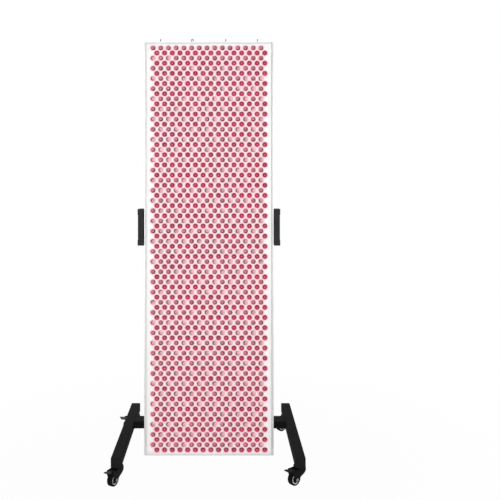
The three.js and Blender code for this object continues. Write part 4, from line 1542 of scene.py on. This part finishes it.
@dataclass
class LiftingEyes:
    """Four screw eyes on the casing's top edge."""

    turns: tuple[float, ...] = (90.0, 25.0, 90.0, 90.0)
    ring: float = 4.7
    wire: float = 1.9
    collar: float = 5.0
    collar_height: float = 1.5
    sink: float = 1.2

    def build(self) -> None:
        """Makes the eyes."""
        top = extent("rail_top")[1][2]
        for number, turn in enumerate(self.turns, start=1):
            low, high = extent(f"lifting_eye_{number}")
            middle = (low + high) / 2
            height = self.collar_height + self.ring + self.wire - self.sink
            ring = bead(circle(self.ring, 40), 0.0, self.wire, 0.0, 0.8, 12)
            x, y = math.cos(math.radians(turn)), math.sin(math.radians(turn))
            parts = [ring.placed(((x, y, 0), (0, 0, 1), (y, -x, 0)), (0, 0, height)),
                     lathe([(0, 0), (self.collar, 0), (self.collar, 0.7), (self.collar - 0.8, 1.3),
                            (2.6, self.collar_height), (2.2, 2.4), (0, 2.8)], 24)]
            shape = joined(parts).placed(origin=(middle[0], middle[1], top))
            Piece(f"screw_eye_{number}", shape, DARK_ZINC, "panel", (f"lifting_eye_{number}",),
                  "zinc_steel").build()


@dataclass
class Yoke:
    """Side arms, tilt bolts and the square tube that joins them to the mast."""

    wall: float = 3.0
    step: float = 1.5
    ease: float = 0.5
    end_height: float = 23.0
    tab: float = 8.0
    tab_half: float = 20.0
    bend: float = 4.5
    web: float = 8.0
    tube: float = 40.0
    tube_wall: float = 2.5
    tube_corner: float = 5.0
    stub: Pair = (50.0, 37.5)
    clamp_rise: float = 22.0
    collar_corner: float = 7.0
    shank: float = 6.0
    # Bolts: width across the flats, height, radius of the washer and its thickness.
    tilt_bolt: tuple[float, float, float, float] = (17.0, 5.4, 10.8, 1.8)
    clamp_bolt: tuple[float, float, float, float] = (13.0, 5.6, 9.0, 1.4)

    def arm(self, side: Side) -> Shape:
        """One arm: a bent channel open outwards, a block in each end and a tab back to the yoke.

        Its depth puts the tilt bolt in the middle of the channel.

        Args:
            side: side of the casing that the arm holds.

        Returns:
            The arm in its place.
        """
        low, high = extent(f"arm_{side.value}")
        out = side.out
        inner = low[0] if out > 0 else high[0]
        width = high[0] - low[0]
        tab_back = high[1]
        front = low[1]
        bolt_low, bolt_high = extent("tilt_bolt_right")
        depth = bolt_low[1] + bolt_high[1] - 2 * front
        back = front + depth
        reach = width - self.step
        span = depth - 2 * self.ease
        outer_face, inner_face = bent_strip([(reach, 0), (self.ease, 0), (self.ease, span),
                                             (reach, span)], self.wall, self.bend)
        lap = self.end_height - self.wall
        channel = strip_solid(outer_face, inner_face, low[2] + lap, high[2] - lap)
        shape = channel.placed(((out, 0, 0), (0, 1, 0), (0, 0, 1)), (inner, front + self.ease, 0))
        x_span = sorted((inner, inner + out * width))
        for bottom in (low[2], high[2] - self.end_height):
            shape = shape + block_between((x_span[0], front, bottom),
                                          (x_span[1], back, bottom + self.end_height), 2.2, 1.4)
        tab_span = sorted((inner, inner + out * self.tab))
        middle = (low[2] + high[2]) / 2
        return shape + block_between((tab_span[0], back - self.wall, middle - self.tab_half),
                                     (tab_span[1], tab_back, middle + self.tab_half), 1.0, 0.8)

    def build(self) -> None:
        """Makes the arms, bolts and yoke."""
        for side in FLANKS:
            word = side.value
            Piece(f"tilt_arm_{word}", self.arm(side), BRACKET_POWDER, "stand", (f"arm_{word}",),
                  "black_powder_coat").build()
            low, high = extent(f"tilt_bolt_{word}")
            middle = (low + high) / 2
            shank_end, far_end = (low[0], high[0])[::side.out]
            web = far_end - side.out * self.web
            outwards = ((0, 1, 0), (0, 0, 1), (side.out, 0, 0))
            bolt = hex_head(*self.tilt_bolt).placed(outwards, (web, middle[1], middle[2]))
            length = abs(web - shank_end)
            shank = lathe([(0, 0), (self.shank - 0.4, 0), (self.shank, 0.5),
                           (self.shank, length), (0, length)], 28)
            bolt = bolt + shank.placed(outwards, (shank_end, middle[1], middle[2]))
            Piece(f"tilt_hex_bolt_{word}", bolt, ZINC, "stand", (f"tilt_bolt_{word}",),
                  "zinc_steel").build()
        self.bar()

    def bar(self) -> None:
        """Makes the square tube, the stub and the clamped collar round the mast."""
        low, high = extent("yoke")
        mast_low, mast_high = extent("mast_cap")
        arm_back = extent("arm_left")[1][1]
        bar_y = arm_back - self.tube / 2
        middle_z = (low[2] + high[2]) / 2
        middle_x = (low[0] + high[0]) / 2
        bar = pipe((self.tube, self.tube), self.tube_wall, self.tube_corner,
                   (low[0], high[0])).placed(Axis.X.value, (0, bar_y, middle_z))
        mast_y = (mast_low[1] + mast_high[1]) / 2
        hollow = mast_high[0] - mast_low[0] + 0.6
        collar_size = high[1] - mast_y
        collar = pipe((2 * collar_size, 2 * collar_size), collar_size - hollow / 2,
                      self.collar_corner, (low[2], high[2]), 1.0).placed(
            origin=(middle_x, mast_y, 0))
        half_x, half_z = self.stub[0] / 2, self.stub[1] / 2
        stub = block_between((middle_x - half_x, arm_back - 1.2, middle_z - half_z),
                             (middle_x + half_x, mast_y - collar_size + 3.5, middle_z + half_z),
                             3.0, 0.5, Axis.Y)
        weld = bead(rounded_rectangle(*self.stub, 3.0), 0.0, 1.8)
        beads = [weld.placed(Axis.Y.value, (middle_x, y, middle_z))
                 for y in (arm_back + 0.3, mast_y - collar_size - 0.3)]
        end_weld = bead(rounded_rectangle(self.tube + 0.6, self.tube + 0.6, self.tube_corner),
                        0.0, 1.5)
        beads += [end_weld.placed(Axis.X.value, (x, bar_y, middle_z))
                  for x in (low[0] + 0.6 + 1.2, high[0] - 0.6 - 1.2)]
        Piece("yoke_tube_and_collar", joined([bar, collar, stub]), BLACK_POWDER, "stand",
              ("yoke",), "black_powder_coat").build()
        bolts = hex_head(*self.clamp_bolt).placed(((1, 0, 0), (0, 0, -1), (0, 1, 0)))
        places = np.array([(middle_x, high[1] - 0.05, middle_z + rise)
                           for rise in (-self.clamp_rise, self.clamp_rise)])
        Piece("collar_clamp_bolts", bolts.repeated(places), ZINC, "stand", (),
              "zinc_steel").build()
        Piece("yoke_welds", joined(beads), BLACK_POWDER, "stand", (),
              "black_powder_coat").build()


@dataclass
class Stand:
    """Mast, cross beam and legs: welded rectangular tube with moulded plugs."""

    mast_corner: float = 6.0
    leg_corner: float = 4.0
    beam_corner: float = 4.5
    mast_wall: float = 3.0
    wall: float = 2.5
    foot: float = 5.0
    foot_bolts: Pair = (44.0, 26.0)
    foot_bolt: tuple[float, float, float, float] = (10.0, 4.4, 7.5, 1.2)

    def build(self) -> None:
        """Makes the mast, beam, legs, plugs and welds."""
        self.mast()
        self.beam()
        for side in FLANKS:
            self.leg(side)

    def mast(self) -> None:
        """Makes the mast with its foot, the bolts through it, its weld and its plug."""
        low, high = extent("mast")
        cap_low, cap_high = extent("mast_cap")
        middle = (cap_low + cap_high) / 2
        size = cap_high - cap_low
        foot = block_between(low, (high[0], high[1], low[2] + self.foot), 5.0, 0.8)
        tube = pipe(size[:2], self.mast_wall, self.mast_corner, (low[2] + 1, high[2])).placed(
            origin=(middle[0], middle[1], 0))
        Piece("mast_tube_and_foot", foot + tube, BLACK_POWDER, "stand", ("mast",),
              "black_powder_coat").build()
        weld = bead(rounded_rectangle(size[0], size[1], self.mast_corner), 0.0, 2.2).placed(
            origin=(middle[0], middle[1], low[2] + 5.6))
        Piece("mast_weld", weld, BLACK_POWDER, "stand", (), "black_powder_coat").build()
        reach_x, reach_y = self.foot_bolts
        places = np.array([(middle[0] + x, middle[1] + y, low[2] + self.foot)
                           for x in (-reach_x, reach_x) for y in (-reach_y, reach_y)])
        Piece("mast_foot_bolts", hex_head(*self.foot_bolt).repeated(places), ZINC, "stand",
              (), "zinc_steel").build()
        self.plug("mast_plug", ("mast_cap",), (size[0], size[1]), self.mast_corner, Axis.Z,
                  (middle[0], middle[1], high[2]), 1, cap_high[2] - high[2],
                  high[2] - cap_low[2])

    def beam(self) -> None:
        """Makes the cross beam with its end welds."""
        low, high = extent("cross_beam")
        middle = (low + high) / 2
        size = high - low
        tube = pipe(size[1:], self.wall, self.beam_corner, (low[0], high[0])).placed(
            Axis.X.value, (0, middle[1], middle[2]))
        Piece("cross_beam_tube", tube, BLACK_POWDER, "stand", ("cross_beam",),
              "black_powder_coat").build()
        welds = [bead(rounded_rectangle(size[1], size[2] - 1.0, self.beam_corner), 0.0, 2.0).placed(
            Axis.X.value, (x, middle[1], middle[2] - 0.5)) for x in (low[0] + 0.5, high[0] - 0.5)]
        Piece("cross_beam_welds", joined(welds), BLACK_POWDER, "stand", (),
              "black_powder_coat").build()

    def leg(self, side: Side) -> None:
        """Makes one leg with a plug in each end.

        Args:
            side: side that the leg stands on.
        """
        word = side.value
        low, high = extent(f"leg_{word}")
        middle = (low + high) / 2
        size = high - low
        tube = pipe((size[0], size[2]), self.wall, self.leg_corner, (low[1], high[1])).placed(
            Axis.Y.value, (middle[0], 0, middle[2]))
        Piece(f"leg_tube_{word}", tube, BLACK_POWDER, "stand", (f"leg_{word}",),
              "black_powder_coat").build()
        for end, out, place in (("front", -1, low[1]), ("rear", 1, high[1])):
            cap_low, cap_high = extent(f"leg_cap_{end}_{word}")
            flange = abs((cap_low[1] if out < 0 else cap_high[1]) - place)
            insert = cap_high[1] - cap_low[1] - flange
            self.plug(f"leg_plug_{end}_{word}", (f"leg_cap_{end}_{word}",), (size[0], size[2]),
                      self.leg_corner, Axis.Y, (middle[0], place, middle[2]), out, flange,
                      insert)

    @staticmethod
    def plug(name: str, nodes: Sequence[str], size: Pair, corner: float, axis: Axis,
             origin: Sequence[float], out: int, flange: float, insert: float) -> None:
        """Makes one moulded plug: a pillowed flange on a tapered insert.

        Args:
            name: name of the piece.
            nodes: solids that it stands for.
            size: width and height of the tube.
            corner: corner radius of the tube.
            axis: direction of the tube.
            origin: middle of the tube's mouth.
            out: direction out of the tube along the axis, 1 or -1.
            flange: thickness of the flange.
            insert: depth of the insert.
        """
        pulls = (3.6, 2.9, 2.9, 0.15, 0.0, 0.5, 1.8, 5.0)
        levels = (-insert, -insert + 1.5, 0.02, 0.02, 0.5, flange - 1.3, flange - 0.5, flange)
        outlines = [rounded_rectangle(size[0] - 2 * pull, size[1] - 2 * pull,
                                      max(corner - pull, 1.2)) for pull in pulls]
        shape = loft(level_rings(outlines, [out * level for level in levels]))
        Piece(name, shape.placed(axis.value, origin), BLACK_NYLON, "stand", nodes,
              "black_plastic", crease=24.0).build()


@dataclass
class Castor:
    """One braked castor; its own frame has the swivel axis as Z and the wheel trailing along +X."""

    tag: str
    trail: float = 28.0
    wheel: float = 25.0
    tread_width: float = 22.0
    rim: float = 18.0
    ring_width: float = 3.4
    hub: float = 9.0
    gap: float = 27.0
    cheek: float = 3.0
    head: float = 23.0
    head_height: float = 8.0
    top: float = 69.7
    pedal_x: float = 38.0
    pedal_z: float = 55.5
    pedal_reach: float = 67.8
    stem: float = 5.5
    stem_length: float = 30.0
    boss: float = 10.0
    ease: float = 0.7
    bore: float = 4.5
    web_half: float = 4.5
    rib: Pair = (7.6, 1.8)
    rib_place: float = 11.9
    ribs: int = 8
    bolt_radius: float = 4.0
    bolt_head: Pair = (11.5, 2.3)
    # Edges of the cheek along X and Z, down behind the wheel and up before it.
    nape: float = 19.0
    cheek_back: tuple[Pair, ...] = (
        (-19.0, 52.0), (-16.5, 46.0), (-9.0, 39.5), (2.0, 34.0), (12.0, 28.0), (17.0, 23.5))
    cheek_front: tuple[Pair, ...] = (
        (38.6, 31.0), (41.0, 38.0), (44.4, 46.0), (45.0, 50.0))
    boss_turn: tuple[float, float, int] = (205.0, 362.0, 12)
    # Ball race: how far each ring lies inside the head's edge, and its level over the cheeks.
    race_rings: tuple[Pair, ...] = (
        (3.2, -1.5), (1.6, 0.0), (0.0, 1.2), (0.0, 3.2), (1.0, 3.9), (1.0, 4.5), (0.0, 5.2),
        (0.6, 7.2))
    # Pedal: where each form starts along X, how far or how fast it runs, and what it adds.
    pedal_steps: int = 22
    pedal_half: float = 11.2
    pedal_wall: Pair = (1.6, 0.8)
    wing: tuple[float, float, float] = (47.5, 1.1, 6.6)
    toe: tuple[float, float, float] = (56.0, 12.0, 4.4)
    lip: tuple[float, float, float] = (62.0, 6.0, 0.5)
    grip: tuple[float, float, float] = (49.0, 66.0, 0.25)

    def place(self, shape: Shape) -> Shape:
        """A shape of the castor's own frame, in its place under the leg.

        Args:
            shape: a shape in the castor's own frame.

        Returns:
            The shape under its leg.
        """
        joints = {joint["name"]: joint for joint in frame["joints"]}
        across = np.array(joints[f"roll_{self.tag}"]["axis"], float)
        across /= np.linalg.norm(across)
        up = np.array([0.0, 0.0, 1.0])
        origin = np.array(joints[f"swivel_{self.tag}"]["pos_m"]) / MM
        return shape.placed((np.cross(across, up), across, up), (origin[0], origin[1], 0.0))

    def cheek_outline(self) -> np.ndarray:
        """Side of the fork: as wide as the swivel head above, drawn down to a boss at the axle.

        Returns:
            Points along X and Z.
        """
        top = self.top - self.head_height
        turn = np.deg2rad(np.linspace(*self.boss_turn))
        arc = np.column_stack([self.trail + self.boss * np.cos(turn),
                               self.wheel + self.boss * np.sin(turn)])
        back = np.array([(-self.nape, top), *self.cheek_back])
        front = np.array([*self.cheek_front, (self.cheek_front[-1][0], top)])
        return np.vstack([back, arc, front])

    def fork(self) -> Shape:
        """Pressed fork: two cheeks with eased rims, a bridge, the ball race and the stem.

        Returns:
            The fork in the castor's own frame.
        """
        outline = spaced(self.cheek_outline(), 1.6)
        middle = outline.mean(axis=0)
        away = np.linalg.norm(outline - middle, axis=1)[:, None]
        eased = middle + (outline - middle) * (1 - self.ease / away)
        half, thick = self.gap / 2, self.cheek
        shapes = []
        for side in (-1, 1):
            levels = [side * (half + depth) for depth in (0.0, thick - self.ease, thick)]
            cheek = loft(level_rings([outline, outline, eased], levels))
            shapes.append(cheek.placed(Axis.Y.value))
        top = self.top - self.head_height
        shapes.append(block_between((-self.nape, -half - thick + 0.3, top - 5.0),
                                    (self.nape, half + thick - 0.3, top + 0.6), 6.0, 2.0, Axis.X))
        end = self.top + self.stem_length
        race = [(self.head - pull, top + rise) for pull, rise in self.race_rings]
        stem = [(self.head - 2.2, self.top), (self.stem, self.top), (self.stem, end - 1),
                (self.stem - 1, end), (0, end)]
        shapes.append(lathe([(0, top - 1.5)] + race + stem, 40))
        return joined(shapes)

    def tread(self) -> Shape:
        """Tread: a ring of rubber with a crowned face and rolled shoulders.

        Returns:
            The tread on its axle.
        """
        half = self.tread_width / 2
        inner = self.rim - 0.2
        profile = [(inner, -half + 0.6), (self.wheel - 3.2, -half),
                   (self.wheel - 1.6, -half + 0.5), (self.wheel - 0.5, -half + 1.9),
                   (self.wheel, -half + 4.2)]
        return self.on_axle(lathe(mirrored(profile), 56, closed=True))

    def rim_ring(self) -> Shape:
        """Pale ring that carries the tread, its two faces raised in a rounded edge.

        Returns:
            The ring on its axle.
        """
        half = self.tread_width / 2 - 0.7
        inner = self.rim - self.ring_width
        profile = [(inner, -half + 0.5), (inner + 0.5, -half), (self.rim - 0.6, -half),
                   (self.rim, -half + 0.5)]
        return self.on_axle(lathe(mirrored(profile), 48, closed=True))

    def web_and_hub(self) -> Shape:
        """Wheel centre: a thin web with ribs, and a hub.

        Returns:
            The web, ribs and hub on their axle.
        """
        half = self.tread_width / 2 - 0.7
        hub_half = self.gap / 2 - 0.3
        seat = self.rim - self.ring_width + 0.2
        profile = [(self.bore, -hub_half), (self.hub - 0.6, -hub_half),
                   (self.hub, -hub_half + 0.8), (self.hub + 0.4, -self.web_half),
                   (seat, -self.web_half)]
        parts = [lathe(mirrored(profile), 48, closed=True)]
        block = rounded_block((*self.rib, 2 * half - 2.0), 0.5, 0.4)
        for rib in range(self.ribs):
            basis = spoke(rib * 2 * math.pi / self.ribs)
            parts.append(block.placed(basis, basis[0] * self.rib_place))
        return self.on_axle(joined(parts))

    def on_axle(self, shape: Shape) -> Shape:
        """A shape turned about the third axis, laid on the axle."""
        return shape.placed(Axis.Y.value, (self.trail, 0, self.wheel))

    def axle(self) -> Shape:
        """Axle with the same hexagonal head outside each cheek, as on a bolt and its nut.

        Returns:
            The axle in its place.
        """
        seat = self.gap / 2 + self.cheek + 0.3
        shank = lathe(mirrored([(0, -seat), (self.bolt_radius, -seat)]), 28)
        head = hex_head(*self.bolt_head)
        parts = [shank, head.placed(origin=(0, 0, seat)),
                 head.placed(((1, 0, 0), (0, -1, 0), (0, 0, -1)), (0, 0, -seat))]
        return self.on_axle(joined(parts))

    def pedal(self) -> Shape:
        """Brake pedal: a dished, winged tread pressed from plate, with grip ribs, on a hub.

        A section across the pedal is a flat rounded rectangle; its half width and height follow
        smooth curves along the pedal, and its edges turn down by the square of the distance.

        Returns:
            The pedal in the castor's own frame.
        """
        share = np.linspace(0, 1, self.pedal_steps)
        x = self.pedal_x - 1.5 + share * (self.pedal_reach - self.pedal_x + 1.5)
        wing_at, wing_rate, wing_half = self.wing
        wing = 1 / (1 + np.exp(-(x - wing_at) * wing_rate))
        toe_at, toe_length, toe_pull = self.toe
        toe = toe_pull * np.clip((x - toe_at) / toe_length, 0, 1) ** 2
        half = self.pedal_half + wing * wing_half - toe
        lip_at, lip_length, lip_rise = self.lip
        lip = lip_rise * np.clip((x - lip_at) / lip_length, 0, 1) ** 2
        rise = self.pedal_z + 1.8 + (x - self.pedal_x) * 4.0 / 30.0 + lip
        thick = np.full(self.pedal_steps, self.pedal_wall[0])
        thick[[0, -1]] = self.pedal_wall[1]
        grip_from, grip_to, grip_rise = self.grip
        odd = np.arange(self.pedal_steps) % 2
        thick += grip_rise * odd * (x > grip_from) * (x < grip_to)
        around = rounded_rectangle(2.0, 2.0, 0.35, 3)
        across = np.outer(half, np.sign(around[:, 0]) * np.abs(around[:, 0]) ** 0.9)
        drop = 1.4 * (across / 18.0) ** 2
        up = rise[:, None] + np.outer(thick, around[:, 1]) - drop
        body = loft(np.stack([np.repeat(x[:, None], across.shape[1], axis=1), across, up], axis=-1))
        hub_half = self.gap / 2 - 0.4
        hub = lathe(mirrored([(0, -hub_half), (3.6, -hub_half), (4, -hub_half + 0.4)]), 24)
        pin_half = self.gap / 2 + self.cheek
        pin = lathe(mirrored([(0, -pin_half), (2, -pin_half)]), 16)
        nose = block_between((37.0, -10.5, 49.4), (41.5, 10.5, 56.5), 0.9, 0.6, Axis.Y)
        hinge = (hub + pin).placed(Axis.Y.value, (self.pedal_x, 0, self.pedal_z))
        return joined([body, hinge, nose])

    def build(self) -> None:
        """Makes the castor."""
        tag = self.tag
        rows = (
            ("pressed_fork", self.fork(), PRESSED_STEEL, "castor", ("fork",),
             "black_pressed_steel"),
            ("axle_bolt", self.axle(), DARK_ZINC, "castor", ("axle",), "zinc_steel"),
            ("tread", self.tread(), TREAD_RUBBER, "wheel", ("wheel",), "castor_rubber"),
            ("rim_ring", self.rim_ring(), RIM_PLASTIC, "wheel", (), "castor_rubber"),
            ("wheel_centre", self.web_and_hub(), BLACK_NYLON, "wheel", (), "castor_rubber"),
            ("brake_pedal", self.pedal(), PRESSED_STEEL, "pedal", ("brake",),
             "black_pressed_steel"),
        )
        for part, shape, finish, body, nodes, slot in rows:
            Piece(f"castor_{part}_{tag}", self.place(shape), finish, f"{body}_{tag}",
                  tuple(f"castor_{node}_{tag}" for node in nodes), slot).build()


# Studio.


@dataclass(frozen=True)
class Studio:
    """Camera, floor, background and lamps of the picture."""

    beside: float = 0.048
    distance: float = 2.754
    height: float = 1.189
    lens: float = 50.0
    shift: Pair = (0.058, -0.16)
    floor_size: float = 60.0
    floor_colour: str = "F4F4F4"
    floor_glow: float = 0.97
    ambient: float = 0.16
    shadow_fade: Pair = (0.6, 1.8)
    # Lamps: name, place, aim, width and power.
    lamps: tuple[tuple[Any, ...], ...] = (
        ("front_softbox", (-0.3, -6.0, 1.0), (0, 0, 0.9), 3.0, 302.0),
        ("top_softbox", (0.0, -1.3, 4.0), (0, -0.2, 0.8), 2.2, 5.0),
        ("rear_top_softbox", (0.0, 1.6, 4.0), (0, 0, 0.6), 2.2, 20.0),
        ("back_softbox", (-0.6, 3.8, 2.6), (0, 0, 0.9), 2.4, 75.0))

    def camera(self) -> None:
        """Makes the camera: level, a little right of the panel's middle."""
        low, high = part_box("front_plate")
        data = bpy.data.cameras.new("camera")
        data.lens = self.lens
        data.sensor_width = 36.0
        data.shift_x, data.shift_y = self.shift
        data.clip_end = 200.0
        camera = bpy.data.objects.new("camera", data)
        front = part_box("rail_left")[0].y
        camera.location = ((low.x + high.x) / 2 + self.beside, front - self.distance, self.height)
        camera.rotation_euler = (math.pi / 2, 0, 0)
        bpy.context.scene.collection.objects.link(camera)
        bpy.context.scene.camera = camera

    def floor(self) -> None:
        """Makes the floor: pale, kept bright for the camera, with the unit's shadow on it."""
        half = self.floor_size / 2
        mesh = bpy.data.meshes.new("floor")
        corners = [(-half, -half, 0), (half, -half, 0), (half, half, 0), (-half, half, 0)]
        mesh.from_pydata(corners, [], [(0, 1, 2, 3)])
        material = bpy.data.materials.new("pale_floor")
        material.use_nodes = True
        tree = material.node_tree
        tree.nodes.clear()
        seen = seen_by_eye(tree)
        place = add_node(tree, "ShaderNodeTexCoord").outputs["Object"]
        away = add_node(tree, "ShaderNodeVectorMath", {0: place},
                        operation="LENGTH").outputs["Value"]
        far = add_node(tree, "ShaderNodeMapRange", {
            "Value": away, "From Min": self.shadow_fade[0], "From Max": self.shadow_fade[1]},
            interpolation_type="SMOOTHSTEP").outputs["Result"]
        glowing = add_node(tree, "ShaderNodeMath", {
            0: far, 1: 1 - self.floor_glow, 2: self.floor_glow}, operation="MULTIPLY_ADD")
        share = add_node(tree, "ShaderNodeMath", {0: seen, 1: glowing.outputs[0]},
                         operation="MULTIPLY").outputs[0]
        paint = add_node(tree, "ShaderNodeBsdfDiffuse", {"Color": linear(self.floor_colour)})
        glow = add_node(tree, "ShaderNodeEmission", {"Color": linear("FFFFFF"), "Strength": 1.0})
        both = add_node(tree, "ShaderNodeMixShader", {
            0: share, 1: paint.outputs[0], 2: glow.outputs[0]})
        add_node(tree, "ShaderNodeOutputMaterial", {"Surface": both.outputs[0]})
        mesh.materials.append(material)
        floor = bpy.data.objects.new("floor", mesh)
        bpy.context.scene.collection.objects.link(floor)

    def world(self) -> None:
        """Sets the background: white where it is seen, and a weak, even light on the unit."""
        world = bpy.data.worlds.new("studio")
        world.use_nodes = True
        bpy.context.scene.world = world
        tree = world.node_tree
        tree.nodes.clear()
        strength = add_node(tree, "ShaderNodeMix", {
            0: seen_by_eye(tree), 2: self.ambient, 3: 1.0}).outputs[0]
        glow = add_node(tree, "ShaderNodeBackground", {
            "Color": linear("FFFFFF"), "Strength": strength})
        add_node(tree, "ShaderNodeOutputWorld", {"Surface": glow.outputs[0]})

    def lamp(self, name: str, place: Sequence[float], aim: Sequence[float], size: float,
             power: float) -> None:
        """Makes one soft square lamp.

        Args:
            name: name of the lamp.
            place: where it stands, in metres.
            aim: point that it faces.
            size: width of its face.
            power: light that it gives, in watts.
        """
        data = bpy.data.lights.new(name, "AREA")
        data.size = size
        data.energy = power
        lamp = bpy.data.objects.new(name, data)
        lamp.location = place
        ahead = np.asarray(aim, float) - np.asarray(place, float)
        lamp.rotation_euler = Vector(ahead).to_track_quat("-Z", "Y").to_euler()
        bpy.context.scene.collection.objects.link(lamp)

    def build(self) -> None:
        """Sets up the picture."""
        self.camera()
        self.floor()
        self.world()
        for row in self.lamps:
            self.lamp(*row)
        scene = bpy.context.scene
        scene.view_settings.view_transform = "Standard"


def main() -> None:
    """Builds the picture and the unit, piece by piece."""
    logging.basicConfig(level=logging.INFO, format="%(name)s: %(message)s")
    Studio().build()
    plan = PanelPlan()
    assemblies = [Casing(plan), LampField(plan), *(Fan(number) for number in (1, 2, 3)), Service(),
                  LiftingEyes(), Yoke(), Stand(),
                  *(Castor(f"{end}_{side.value}") for end in ("front", "rear")
                    for side in FLANKS)]
    for assembly in assemblies:
        LOG.info("building %s", type(assembly).__name__)
        assembly.build()


if __name__ == "__main__":
    main()
